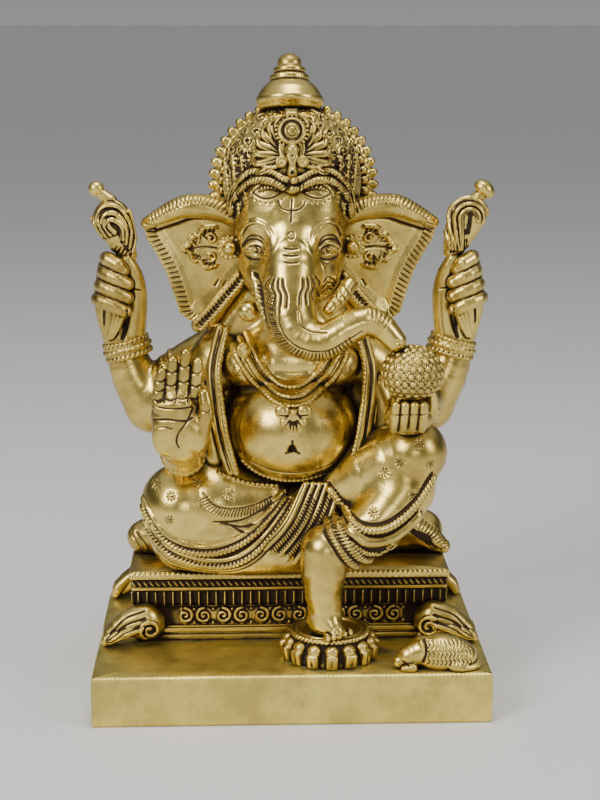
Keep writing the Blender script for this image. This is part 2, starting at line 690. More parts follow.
def make_ear(side, name, node):
    """A thin leaf under a thick folded-over rim, with a hatched border and an engraved leaf by the stud."""
    clay = over(node, step=0.36, margin=7.0)
    clay.plate(across(side, *EAR_EDGE), 4.0, 3.0, dish=1.4)
    clay.limb(*across(side, (17, -3.0, 177.5, 3.2), (23, -4.4, 182.2, 4.0), (31, -4.8, 184.4, 4.4),
            (39, -4.2, 184.4, 4.2), (46.5, -2.0, 181.2, 3.4), (53, 1.2, 177.8, 2.3)), blend=0.8)
    clay.engrave(*across(side, (18, 174.6), (26, 178.4), (35, 179.4), (43, 177.0), (50, 174.8)), width=0.6)
    clay.hatch(across(side, (20, 182.0), (28, 187.2), (37, 188.4), (45, 185.2), (52, 180.6)), 4.4, 1.7, 0.5,
            0.34)
    rim = across(side, *EAR_EDGE[5:12])
    clay.hatch(moved(rim, -side * 2.4, 0), 3.8, 1.9, 0.5, 0.36)
    upper = across(side, (40.0, 167.6), (37.6, 169.4), (36.2, 172.4), (33.8, 172.8), (32.4, 175.6),
            (27.6, 176.0))
    lower = across(side, (40.0, 167.6), (37.2, 166.4), (36.4, 163.6), (33.6, 163.4), (31.6, 160.8),
            (27.4, 161.6))
    for line in (upper, lower):
        clay.relief(line, 0.6, 0.0, 0.7)
        clay.hatch([(x * 0.86 + 0.14 * (MIDDLE + side * 28), z * 0.8 + 0.2 * 168) for x, z in line], 3.4,
                1.6, 0.9, 0.24)
    clay.relief(across(side, *spiral((29.4, 171.6), 2.2, 30, 1.1)), 0.5, 0.3)
    clay.relief(across(side, *spiral((29.6, 165.0), 2.0, -60, -1.1)), 0.5, 0.3)
    clay.engrave(*across(side, (26.5, 168.0), (32.0, 168.6), (37.6, 167.8)), width=0.36)
    for x in (24.0, 27.0, 46.0):
        clay.engrave(*across(side, (x, 156.0), (x + 1.2, 154.0)), width=0.4)
    clay.facing = 1
    clay.relief(moved(rim, -side * 2.0, 0), 0.9, 0.1)
    for x, z in ((49.0, 174.0), (46.0, 166.0), (43.0, 158.0), (39.0, 151.0), (35.0, 146.5)):
        clay.relief(across(side, (23.0, 168.0), ((x + 23.0) / 2 + 1.0, (z + 168.0) / 2 + 1.2), (x, z)), 0.6,
                0.0, 0.6)
    cast(name, clay)


def make_ear_stud(side, name, node):
    x, y, z = MIDDLE + side * 22.6, -8.4, 169.8
    clay = over(node, step=0.3)
    clay.ellipsoid((x, y + 1.6, z), (4.5, 2.6, 4.5))
    clay.bead_ring((x, y + 0.2, z), (0, 1, 0), 3.9, 0.75, 14)
    clay.ellipsoid((x, y - 1.2, z), (2.5, 2.6, 2.5), blend=0.3)
    cast(name, clay)


def make_hair_lock(side, name, node):
    """A lock with fine slanting strands, from behind the ear down onto the shoulder."""
    clay = over(node, step=0.32)
    line = ((18.5, 159.0), (23.5, 153.0), (29.0, 146.5), (34.5, 140.6))
    clay.limb(*across(side, *[(x, -7.6 + 0.12 * (x - 18), z, 2.6) for x, z in line]))
    for shift in (-1.5, 1.5):
        clay.relief(across(side, *moved(line, shift * 0.75, shift * 0.7)), 0.9, 0.4)
    for shift, slant in ((1.1, 0.8), (-1.1, -0.8)):
        clay.hatch(across(side, *moved(line, shift, shift)), 2.2, 1.5, slant, 0.3)
    cast(name, clay)


# ---------------------------------------------------------------- crown, halo and parasol
def curls(clay, spots, radius=1.7, thick=0.5, turns=1.2):
    """Small scrolls in relief, each a spiral with a dark eye."""
    for index, (x, z) in enumerate(spots):
        way = 1 if index % 2 else -1
        clay.relief(spiral((x, z), radius, 90 * (index % 4), way * turns), thick, 0.25, 0.2)
        clay.engrave(*spiral((x, z), radius * 0.75, 90 * (index % 4) + 60, way * turns * 0.9), width=0.42)


def make_crown():
    """The domed crown: scrollwork all over, two brow arches, lattices and beaded strands down its sides."""
    clay = over("crown_cap", "crown_band", step=0.34)
    clay.ellipsoid(at(0.7, 4.5, 193), (25.6, 22.4, 27.4))
    clay.limb(at(-17, -7, 183, 5.0), at(-11, -14.5, 191.5, 5.4), at(0, -17.4, 195, 4.6),
            at(11, -14.5, 191.5, 5.4), at(17, -7, 183, 5.0), blend=3.0)
    clay.keep_above(178.6)
    dome = []
    for radius in (5.0, 9.0, 12.8, 16.4, 19.6, 22.6):
        count = round(math.pi * radius / 3.8)
        for index in range(count):
            angle = math.radians(4 + 172 * index / (count - 1))
            dome.append((MIDDLE + 0.7 + radius * math.cos(angle) * 1.06,
                    195.0 + radius * 1.1 * math.sin(angle)))
    curls(clay, dome, 1.75, 0.5, 1.3)
    for side in (-1, 1):
        for start in (15.6, 18.8, 21.8):
            line = [at(side * (start + 2.4), 203.0), at(side * (start + 1.4), 194), at(side * start, 182.0)]
            clay.beads(line, 0.85, 1.75, 0.2)
            clay.engrave(*moved(line, -side * 1.5, 0), width=0.5)
        for rise in (0.0, 3.2, 6.4):
            clay.engrave(at(side * 12.0, 199.4 + rise), at(side * 17.0, 197.6 + rise),
                    at(side * 22.0, 198.6 + rise), width=0.45)
        arch = across(side, (0, 192.4), (2.7, 192.9), (5.0, 194.2), (8.2, 195.2), (12.3, 195.2),
                (15.9, 193.6), (19.0, 190.2), (21.0, 186.4), (22.0, 181.0))
        outer = moved(arch, side * 0.5, 3.0)
        clay.relief(outer, 1.35, 0.8, 0.3)
        clay.rope(arch, 1.35, 1.35, 1.0, 0.6)
        clay.hatch(outer, 1.8, 1.5, 0.2, 0.24)
        clay.engrave(*moved(arch, side * 0.25, 1.55), width=0.5)
        clay.engrave(*moved(arch, side * 0.7, 4.8), width=0.6)
    clay.ellipsoid(at(0, -23.4, 192.4), (1.9, 1.4, 1.8), blend=0.4)
    clay.facing = 1
    centre = at(0.7, 195.0)
    for radius in (4.0, 20.0):
        clay.relief(arc(centre, radius, 0, 360), 1.0, 0.2)
    clay.relief(spiral(centre, 2.2, 0, 1.2), 0.6, 0.2)
    back_curls = []
    for radius in (7.6, 12.0, 16.2, 23.0):
        count = round(2 * math.pi * radius / 4.2)
        turns = [2 * math.pi * index / count for index in range(count)]
        back_curls += [(centre[0] + radius * math.cos(turn),
                centre[1] + radius * math.sin(turn)) for turn in turns]
    curls(clay, back_curls, 1.85, 0.5, 1.3)
    cast("crown", clay)


def make_medallion():
    """The plume on the crown: a ringed disc between feather ribs, with volutes and bosses below."""
    clay = over("crown_medallion", step=0.3)
    x = MIDDLE
    clay.ellipsoid((x, -11.5, 205), (11.0, 8.0, 11.5))
    clay.ellipsoid((x, -15.6, 198.8), (10.0, 5.4, 4.6), blend=1.0)
    for side in (-1, 1):
        for rib in range(8):
            angle = math.radians(-20 + 17.5 * rib)
            reach = 14.6 - 0.25 * rib
            start = (x + side * (2.8 + 0.12 * rib), -19.0 + 0.35 * rib, 202.6 + 0.75 * rib, 1.5)
            tip = (x + side * reach * math.cos(angle), -12.6 + 0.6 * rib, 203.0 + 14.0 * math.sin(angle),
                    0.9)
            bend = (x + side * (2.0 + 0.72 * reach * math.cos(angle - 0.25)), -18.2 + 0.6 * rib,
                    203.6 + 11.4 * math.sin(angle - 0.25) + 0.8, 1.35)
            clay.limb(start, bend, tip, blend=0.15)
            clay.engrave((start[0] + side * 1.5, start[2]), (bend[0], bend[2]), (tip[0], tip[2]),
                    width=0.36)
    clay.ellipsoid((x, -16.6, 212.2), (5.3, 3.0, 5.3), (-27, 0, 0), blend=0.3)
    clay.ring((x, -18.6, 212.6), (0, 1, -0.5), 4.3, 0.9, 0.1)
    clay.ellipsoid((x, -18.6, 212.8), (3.0, 1.4, 3.0), (-27, 0, 0), blend=0.2)
    clay.engrave(*arc((x, 212.8), 3.4, 0, 340), width=0.45)
    clay.engrave(*arc((x, 212.8), 1.8, 0, 340), width=0.3)
    clay.bead_ring((x, -18.2, 212.1), (0, 1, -0.5), 5.6, 0.6, 22)
    clay.block((x, -13.6, 218.4), (2.4, 2.2, 1.6), (28, 0, 0), rounding=1.0, blend=0.3)
    clay.ball((x, -21.0, 206.0), 2.4, 0.2)
    clay.ball((x, -22.6, 198.4), 2.0, 0.2)
    for side in (-1, 1):
        clay.ring((x + side * 3.8, -21.6, 202.0), (0, 1, -0.2), 1.5, 0.75, 0.1)
        clay.ball((x + side * 3.8, -21.8, 202.0), 0.7, 0.1)
        clay.limb((x + side * 1.2, -22.0, 204.0, 1.0), (x, -22.6, 201.4, 1.2),
                (x + side * 0.6, -22.6, 199.6, 0.9), blend=0.2)
        clay.limb((x + side * 5.0, -20.8, 200.4, 0.9), (x + side * 8.4, -19.4, 199.6, 1.0),
                (x + side * 11.4, -17.4, 200.8, 0.7))
    cast("crown_plume", clay)


def make_halo():
    """The ring behind the crown, studded with two rows of stubby knobs."""
    clay = over("halo_ring", step=0.36, margin=2.5)
    x, y, z = MIDDLE + 1.4, 11.6, 191.0
    clay.ring((x, y, z), (0, 1, 0), 27.0, 3.0)
    for index in range(44):
        for row, (reach, back, size) in enumerate(((29.2, -0.6, 2.15), (25.6, -3.4, 1.9))):
            turn = 2 * math.pi * (index + 0.5 * row) / 44
            out = np.array((math.cos(turn), 0, math.sin(turn)))
            spot = np.array((x, y + back, z)) + out * reach
            clay.limb((*(spot - out * 2.4), size), (*(spot + out * 1.0), size * 0.85), blend=0.3)
    clay.keep_above(171.0)
    cast("halo", clay)


def make_parasol():
    """A turned disc on a neck, under two rings and a knob; it leans back."""
    clay = over("crown_parasol", "crown_knob", step=0.3)
    lean = 13
    foot = at(0, 6.0, 217.0)
    profile = ((0.0, 6.2), (0.9, 7.6), (1.2, 9.4), (2.0, 10.8), (3.6, 11.6), (5.6, 11.9), (7.6, 11.5),
            (9.4, 10.4), (10.8, 9.0), (11.6, 8.2), (12.2, 7.0), (12.9, 7.4), (14.2, 7.4), (14.8, 6.4),
            (15.0, 5.4), (15.8, 6.0), (17.0, 6.0), (17.6, 5.0), (18.2, 4.4), (19.2, 4.5), (20.4, 4.2),
            (21.6, 3.2), (22.6, 1.6), (22.9, 0.1))
    clay.lathe(foot, profile, lean)
    axis = turned((-lean, 0, 0))[:, 2]
    base = np.array(foot)
    clay.ring(base + axis * 5.0, axis, 10.9, 1.7, 1.0)
    for radius in (7.4, 8.6):
        clay.scratch(circle_points(base + axis * 0.8, axis, radius, 90), 0.9)
    for height, radius in ((13.5, 7.4), (16.4, 6.2)):
        spot = base + axis * height
        for point in circle_points(spot, axis, radius, 30):
            out = (point - spot) / radius
            clay.scratch([point + out * 0.4 + axis * t for t in np.linspace(-0.8, 0.8, 6)], 0.3)
    cast("crown_parasol", clay)


# ---------------------------------------------------------------- body
def make_torso():
    """The bare chest and round belly, with the navel and the fold under the breast."""
    clay = over("belly", "chest", "hips", step=0.38, margin=9.0)
    clay.ellipsoid(at(0, -7, 103), (25.2, 25.3, 21.2))
    clay.ellipsoid(at(0, -1, 127), (24.6, 17, 16), blend=5)
    clay.ellipsoid(at(0, 8, 66), (30, 24, 20), blend=2)
    clay.limb(at(0, 3, 138, 14), at(0, 2, 152, 13), blend=5)
    clay.limb(at(0, 6, 140, 12), at(0, 8, 120, 16), at(0, 9, 98, 17.5), at(0, 11, 74, 19), blend=7)
    for side in (-1, 1):
        clay.limb(at(side * 12, 2, 152, 9.0), at(side * 21, 3, 140, 9.0), at(side * 27, 2, 130, 8.0),
                blend=4)
        clay.limb(at(side * 25, -2, 122, 6.5), at(side * 28, -5, 106, 6.0), at(side * 27, -7, 92, 6.0),
                blend=2)
        clay.ellipsoid(at(side * 16.5, -12, 127), (9.4, 9, 8.5), blend=3)
        nipple = at(side * 20.0, 126.2)
        y = clay.front(*nipple)
        clay.ring((nipple[0], y, nipple[1]), (side * 0.5, -1, 0.1), 1.35, 0.5, 0.2)
        clay.ball((nipple[0], y, nipple[1]), 0.9, 0.2)
        clay.engrave(at(side * 24.5, 121.5), at(side * 20.5, 119.0), at(side * 14.5, 119.8), width=0.7)
        clay.engrave(at(side * 22.5, 117.4), at(side * 18.5, 116.0), width=0.4)
    clay.limb((30, -5, 124, 6.5), (35, -10, 108, 6.5), (34, -13, 93, 6.0), blend=2)
    clay.beads([at(x, z) for x, z in ((-19, 92.6), (-12, 87.0), (0, 84.4), (12, 87.0), (19, 92.6))], 0.85,
            1.7, 0.2)
    clay.ellipsoid(at(-0.4, -32.2, 99.2), (1.5, 2.4, 1.3), blend=1.6, cut=True)
    for foot in ((-2.6, 97.6), (2.2, 97.6), (-0.3, 102.4)):
        clay.engrave(at(-0.3, 99.2), at(*foot), width=0.75)
    clay.engrave(at(-15, 92.5), at(-6, 89.4), at(6, 89.0), at(15, 91.5), width=0.5)
    clay.facing = 1
    clay.engrave(at(0, 138), at(0.4, 122), at(0, 108), width=0.5)
    for fall in (0.0, 3.4, 6.8):
        band = [at(21, 136 - fall), at(5, 121 - fall), at(-12, 104 - fall), at(-22, 94 - fall)]
        clay.relief(band, 1.6, 0.0, 0.5)
        clay.hatch(band, 2.4, 1.7, 0.4, 0.3)
    clay.beads([at(-21, 86), at(-8, 82.4), at(8, 82.4), at(21, 86)], 1.2, 2.2, 0.3)
    for drop in (6.0, 11.0, 16.0, 21.0):
        clay.relief([at(-26, 84 - drop), at(-9, 79 - drop), at(9, 79 - drop), at(26, 84 - drop)], 1.4, -0.3,
                1.4)
    cast("torso", clay)


def make_necklace():
    """Three beaded strands in a U, a boss where they meet the shawl, and a lobed leaf below."""
    clay = over("necklace", "pendant", step=0.3, margin=6.0)
    clay.ellipsoid(at(0, -7, 103), (24.8, 24.9, 20.8))
    clay.ellipsoid(at(0, -1, 127), (24.4, 16.6, 15.8), blend=5)
    for side in (-1, 1):
        clay.ellipsoid(at(side * 16.5, -12, 127), (9.0, 8.6, 8.2), blend=3)
    strands = (
        ((-26.0, 143.0), (-20.6, 132.0), (-14.0, 121.6), (-7.0, 116.0), (0.0, 114.6), (7.0, 116.2),
                (14.0, 121.6), (19.8, 131.0)),
        ((-22.8, 143.4), (-17.6, 133.0), (-11.8, 123.4), (-6.0, 118.6), (0.0, 117.4), (6.0, 118.8),
                (12.0, 123.6), (17.4, 132.6)),
        ((-19.6, 143.8), (-14.8, 134.2), (-9.8, 125.6), (-5.0, 121.2), (0.0, 120.2), (5.0, 121.4),
                (10.0, 125.8), (15.0, 134.2)),
    )
    shaped = [[at(x, z) for x, z in strand] for strand in strands]
    lines = [clay.draped(strand, 0.3) for strand in shaped]
    clay.field[:] = FAR
    for index, line in enumerate(lines):
        lift = np.array((0, 0.9, 0))
        clay.tube(line - lift * 0.4, 1.15, 0.1)
        for spot in stations(line, 1.6)[0]:
            clay.ball(spot - lift, 1.05 if index != 1 else 0.85, 0.1)
        clay.tube(line + (0, 1.2, 0), 1.9, 0.1)
    clay.ball(at(-17.6, -21.5, 134.2), 2.4, 0.2)
    clay.ring(at(-17.6, -22.6, 134.2), (0.5, -1, 0), 2.3, 0.5, 0.1)
    for x, z, size in ((0, 111.6, 2.9), (-4.0, 113.6, 2.7), (4.0, 113.6, 2.7), (-2.9, 109.6, 2.1),
            (2.9, 109.6, 2.1),
                       (0, 107.6, 2.2)):
        clay.ellipsoid(at(x, -32.6 - 0.10 * (z - 111), z), (size, 1.5, size), blend=0.3)
    for x, z in ((0, 105.8), (-3.4, 107.6), (3.4, 107.6), (-6.0, 112.4), (6.0, 112.4), (-1.6, 106.4),
            (1.6, 106.4)):
        clay.engrave(at(x * 0.35, 112.0 + 0.35 * (z - 112)), at(x, z), width=0.42)
    clay.ball(at(0, -33.8, 113.6), 1.3, 0.2)
    cast("necklace_and_pendant", clay)


def make_shawl(side, name, node):
    """The shawl's edge: a narrow border over loose folds, falling past the belly to the lap."""
    clay = over(node, step=0.34, margin=5.0)
    points = ((24.0, -10, 139.5, 1.3), (27.0, -17.0, 127, 1.4), (26.4, -21.0, 115, 1.4),
            (24.6, -23.4, 103, 1.4), (22.6, -23.8, 95, 1.3), (20.6, -22.6, 88.5, 1.2))
    back = ((27.5, -4, 138, 3.0), (30.5, -9, 124, 3.4), (30.0, -12.5, 108, 3.6), (28.6, -14, 92, 3.4))
    clay.limb(*[at(side * x, y, z, r) for x, y, z, r in back])
    clay.limb(*[at(side * (x + 2.2), y + 3.2, z, r + 0.7) for x, y, z, r in points], blend=1.2)
    clay.limb(*[at(side * x, y, z, r) for x, y, z, r in points], blend=0.4)
    flat = [at(side * x, z) for x, _, z, _ in points]
    clay.engrave(*moved(flat, side * 0.2, 0), width=0.3)
    clay.hatch(moved(flat, -side * 0.8, 0), 1.0, 1.7, 0.4, 0.3)
    clay.engrave(*moved(flat, side * 2.4, 0), width=0.36)
    clay.engrave(*[(x + side * 4.8, z) for x, z in flat[1:]], width=0.4)
    cast(name, clay)


# ---------------------------------------------------------------- legs and dress
def sunburst(clay, x, z, radius=1.7):
    """A punched flower: short rays round a dot."""
    for ray in range(8):
        angle = math.radians(45 * ray + 11)
        clay.engrave((x + 0.7 * math.cos(angle), z + 0.7 * math.sin(angle)),
                (x + radius * math.cos(angle), z + radius * math.sin(angle)), width=0.27)
    clay.engrave((x - 0.2, z), (x + 0.2, z), width=0.45)


def make_folded_leg():
    """The right leg under smooth cloth: punched flowers, and two rope hems from waist to knee."""
    clay = over("right_leg", step=0.36)
    clay.limb((-40, -9, 72.5, 16.2), (-28, -7, 73.0, 18.8), (-12, -4, 72.0, 17.0))
    clay.limb((-40, -11, 60.5, 12.4), (-20, -16, 57.5, 10.3), (4, -14, 55, 8.4), blend=4)
    clay.limb((-30, -18.0, 64.5, 6.0), (-12, -17.5, 66.0, 6.0), (4, -14.0, 74.0, 5.0), blend=4)
    clay.keep_above(47.2)
    hems = (
        ((-55.0, 74.0), (-51.7, 69.0), (-47.1, 63.1), (-39.0, 59.0), (-28.5, 58.6), (-18.6, 61.9),
                (-10.5, 67.9), (-1.9, 77.4)),
        ((-54.0, 66.0), (-49.3, 60.6), (-42.7, 56.0), (-33.5, 53.4), (-23.1, 53.7), (-15.0, 57.3),
                (-7.5, 64.2), (2.6, 77.6)),
    )
    for hem in hems:
        clay.relief(moved(hem, 0, 2.4), 0.9, 0.0, 1.0)
        clay.rope(hem, 1.3, 1.6, 0.3, 0.6)
        clay.engrave(*moved(hem, 0, -1.9), width=0.55)
        clay.engrave(*moved(hem, 0, 1.7), width=0.5)
    clay.engrave(*[(x + 0.4, z - 3.6) for x, z in hems[1]], width=0.45)
    for shift in (0.0, 2.6, 5.0):
        clay.engrave((-28.4 + shift, 70.6 - shift * 0.2), (-18.6 + shift * 0.5, 70.6 - shift * 0.9),
                (-10.4 + shift * 0.4, 74.0 - shift), (-1.9 + shift * 0.3, 79.6 - shift * 0.4), width=0.5)
    fringe = [(-32.2, 79.6), (-27.8, 75.3), (-20.4, 73.7), (-13.0, 74.4), (-6.7, 76.8)]
    clay.engrave(*moved(fringe, 0, 1.5), width=0.36)
    clay.hatch(fringe, 3.2, 1.15, 0.5, 0.34)
    clay.beads([(-27.0, 88.0), (-16.0, 83.6), (-4.0, 81.6)], 0.9, 1.9, 0.1)
    for x, z in ((-44.0, 79.8), (-50.0, 83.0), (-34.4, 84.6), (-22.8, 80.6), (-44.8, 71.2), (-38.0, 88.0)):
        sunburst(clay, x, z)
    cast("folded_leg", clay)


def make_raised_leg():
    """The left leg: a smooth raised knee, rope hems round the calf, and the bare shin and foot below."""
    clay = over("left_thigh", "left_shin", "left_foot", step=0.36)
    clay.limb((17, -9, 76, 12.6), (32, -17, 86.5, 15.0), (45, -25.5, 96.5, 12.4), blend=0.5)
    clay.limb((41.5, -27, 83, 11.6), (32, -31.0, 72, 10.4), (20, -33.0, 64, 8.8), blend=4)
    clay.limb((12.6, -34.0, 62, 9.4), (11.8, -34.2, 54, 8.4), (11.6, -33.8, 46, 7.0),
            (12.6, -33.2, 39, 6.2), blend=1.6)
    clay.ellipsoid((12.0, -32.6, 34.4), (6.4, 6.4, 5.4), blend=2.5)
    clay.limb((13.0, -35.0, 35.0, 4.4), (16.4, -38.4, 32.2, 3.2), blend=2.5)
    for index in range(5):
        x, y = 12.6 + 2.15 * index, -42.0 + 1.5 * index
        clay.ellipsoid((x, y, 31.0), (1.2, 2.4, 1.6), (0, 0, 20), blend=0.5)
        clay.engrave((x - 0.7, 31.8), (x + 0.7, 31.8), width=0.3)
    hem = [(14.6, 82.0), (19.5, 76.2), (25.3, 72.0), (32.2, 71.7), (38.4, 74.3), (45.2, 80.1), (51.4, 88.6)]
    clay.engrave(*moved(hem, -0.4, 2.2), width=0.7)
    clay.rope(hem, 1.5, 1.6, 0.4, 0.6)
    clay.engrave(*moved(hem, 0.4, -2.2), width=0.6)
    clay.relief([(x + 1.0, z - 4.4) for x, z in hem[1:6]], 1.5, 0.0, 1.2)
    under = [(x + 1.8, z - 7.6) for x, z in hem[1:6]]
    clay.engrave(*under, width=0.7)
    clay.rope(moved(under, 0.4, -1.8), 1.1, 1.5, 0.3, 0.6)
    falls = (((9.4, 79.0), (13.6, 71.0), (18.8, 63.0), (24.0, 56.0)),
            ((13.6, 77.6), (18.0, 69.6), (23.6, 62.0), (29.6, 57.6)))
    for fall in falls:
        clay.relief(fall, 1.7, 0.2, 0.6)
        clay.hatch(fall, 3.0, 1.5, 0.5, 0.4)
        clay.engrave(*moved(fall, -1.9, -0.6), width=0.6)
    curls(clay, ((32.0, 60.6), (36.4, 64.0)), 2.0, 0.6)
    for x, z in ((39.2, 95.4), (50.2, 94.6), (43.8, 83.6), (29.4, 77.6), (33.5, 91.4), (46.0, 102.0)):
        sunburst(clay, x, z)
    cast("raised_leg", clay)


def make_pleats():
    """Gathered cloth between the legs: folds run down from the waist to the seat, with a hatched border."""
    clay = over("dhoti_pleats", step=0.34, margin=5.0)
    clay.limb((12, -14, 80, 7.0), (2, -16.5, 67, 8.0), (-6, -14.5, 56, 6.0))
    for index in range(6):
        top = (6.0 + 2.5 * index, -19.6 - 0.4 * index, 83.0)
        middle = (-1.6 + 2.9 * index, -24.2 - 0.3 * index, 68.4)
        foot = (-15.0 + 4.2 * index, -21.6, 54.0)
        clay.limb((*top, 1.5), (*middle, 1.9), (*foot, 1.9), blend=0.3)
        clay.engrave((top[0] - 1.3, top[2]), (middle[0] - 1.5, middle[2]), (foot[0] - 2.0, foot[2]),
                width=0.5)
    for shift in (1.0, 6.8):
        border = [(7.5 + shift, 79.0), (0.4 + shift, 67.0), (-8.6 + shift * 1.2, 56.0)]
        clay.hatch(border, 3.0, 1.2, 0.5, 0.38)
    clay.keep_above(48.0)
    cast("pleats", clay)


def make_bolster():
    """The cloth and cushion behind the hips, with a flat leaf-shaped end spread on the seat at the left."""
    clay = over("bolster", step=0.42)
    clay.limb((-50, 15, 54.6, 8.2), (0, 15, 54.8, 8.6), (53, 15, 54.6, 8.2))
    clay.limb((-56.5, 13.0, 53.6, 6.4), (-50, 12, 55, 7.6), blend=3)
    clay.limb((46, 10.5, 58.0, 5.4), (54, 9.6, 54.0, 5.0), (60.5, 9.4, 49.6, 3.2), blend=1.5)
    clay.keep_above(47.2)
    for shift in (0.0, 2.6, 5.2):
        clay.engrave((42.0 + shift, 60.0 - 0.2 * shift), (50.0 + shift, 55.5 - 0.6 * shift),
                (56.5 + shift * 0.6, 49.0), width=0.5)
    clay.hatch([(50.0, 61.0), (57.0, 56.0), (62.0, 49.5)], 3.0, 1.6, 0.4, 0.4)
    for shift in (0.0, 3.0):
        clay.engrave((-62.0 + shift, 57.0), (-58.5 + shift, 52.6), (-57.0 + shift, 48.0), width=0.5)
    for x in (-46.0, -42.0, 34.0, 38.0):
        clay.rope_ring((x, 15.0, 54.7), (1, 0, 0), 8.3, 0.9)
    clay.facing = 1
    for x in range(-38, 33, 5):
        clay.engrave((x, 61.0), (x + 1.6, 57.0), (x + 0.4, 50.0), width=0.4)
    cast("bolster_cloth", clay)


# ---------------------------------------------------------------- arms and hands
def make_rear_arm(side, name, node):
    clay = over(node, step=0.4)
    clay.limb(*across(side, (28, 6, 126, 12.0), (43, 7, 117, 11.4), (52.5, 8, 107.5, 10.4)))
    clay.limb(*across(side, (52.5, 8, 107.5, 10.2), (58.8, 8, 118, 8.9), (62.0, 8, 127.0, 7.5)), blend=2)
    clay.rope_ring(at(side * 39, 6.6, 119.6), (side * 0.8, 0.05, -0.62), 11.2, 1.0, 1.9)
    clay.rope_ring(at(side * 42, 6.8, 117.4), (side * 0.8, 0.05, -0.66), 11.1, 0.8, 1.7)
    cast(name, clay)


def make_bangle(name, node, centre, axis, radius):
    """A pair of twisted rings either side of a row of beads."""
    clay = over(node, step=0.32)
    axis = np.array(axis, float) / np.linalg.norm(axis)
    centre = np.array(centre, float)
    clay.ring(centre, axis, radius - 0.6, 1.3)
    clay.ring(centre + axis * 1.5, axis, radius - 0.8, 1.2)
    clay.ring(centre - axis * 1.5, axis, radius - 0.8, 1.2)
    clay.rope_ring(centre + axis * 2.7, axis, radius - 0.4, 0.95, 1.9)
    clay.rope_ring(centre - axis * 2.7, axis, radius - 0.1, 0.95, 1.9)
    clay.bead_ring(centre, axis, radius + 0.4, 0.75, round(2 * math.pi * radius / 1.9))
    cast(name, clay)


def make_rear_hand(side, name, node):
    """A fist round a handle: four fingers, the thumb up the inner side, cords hanging from below."""
    clay = over(node, step=0.32)
    clay.limb(*across(side, (63.4, 8.0, 131.0, 6.6), (66.6, 8.4, 138.5, 5.6), (68.4, 8.0, 148.0, 5.6),
            (66.8, 7.0, 160.0, 5.4)))
    clay.limb(*across(side, (60.4, 7.4, 131.0, 5.4), (58.2, 5.4, 141.0, 4.2), (57.4, 3.4, 151.0, 3.9),
            (58.2, 1.4, 158.6, 3.2), (60.6, 0.0, 164.0, 2.6)), blend=1.2)
    for row in range(4):
        z = 147.0 + 5.1 * row
        reach = (0.0, 0.9, 1.0, -0.4)[row]
        clay.limb(*across(side, (72.0 - 1.2 * row, 3.4, z + 2.2, 2.7), (70.2 - 1.0 * row, -0.9, z + 2.2,
                2.9), (65.4 - 0.5 * row, -3.0, z + 0.6, 2.9), (61.6 - reach, -2.0, z - 1.6, 2.5)),
                blend=0.35)
        clay.ellipsoid(at(side * (61.2 - reach), -4.0, z - 1.8), (1.3, 0.6, 1.1), blend=0.2)
    for shift in (-1.7, 0.0, 1.7):
        clay.limb(*across(side, (63.6 + shift, -0.6, 145.4, 1.0), (65.2 + shift * 0.8, 0.4, 140.0, 0.95),
                (67.6 + shift * 0.5, 2.4, 134.4, 0.7)), blend=0.15)
    clay.engrave(*across(side, (60.4, 146.0), (61.2, 140.0), (63.0, 134.4)), width=0.8)
    clay.engrave(*across(side, (69.8, 144.6), (70.2, 139.6)), width=0.7)
    clay.engrave(*across(side, (55.6, 153.0), (58.6, 153.6)), width=0.34)
    cast(name, clay)


def make_noose(side, name, node):
    """The held loop at the figure's right: nested strands round a slot, and a ball on a thin neck."""
    clay = over(node, step=0.3)
    clay.limb(*across(side, (60.0, 2.0, 165.5, 3.2), (62.6, 2.0, 171.0, 5.0), (66.0, 2.2, 179.6, 7.0)),
            blend=1)
    for rise in (0.0, 2.3, 4.6, 6.7):
        line = across(side, (58.6 + rise * 0.45, 167.6 + rise * 0.7),
                (57.6 + 0.7 * rise, 176.0 + 0.2 * rise), (61.6 + 0.42 * rise, 185.6 - 0.9 * rise),
                (68.8 - 0.35 * rise, 187.0 - 1.1 * rise), (73.0 - 0.9 * rise, 181.0 - 0.5 * rise),
                (69.4 - 0.7 * rise, 173.0 + 0.3 * rise))
        clay.relief(line, 1.0, 0.3, 0.15)
        clay.engrave(*moved(line, side * 0.5, -1.1), width=0.5)
    clay.hatch(across(side, (60.0, 166.6), (65.4, 168.6)), 3.0, 1.4, 0.3)
    clay.limb(*across(side, (66.5, 2.2, 186.0, 2.6), (70.2, 2.6, 189.0, 1.9)), blend=0.6)
    clay.ball(at(side * 71.6, 2.8, 190.4), 2.9, 0.3)
    cast(name, clay)


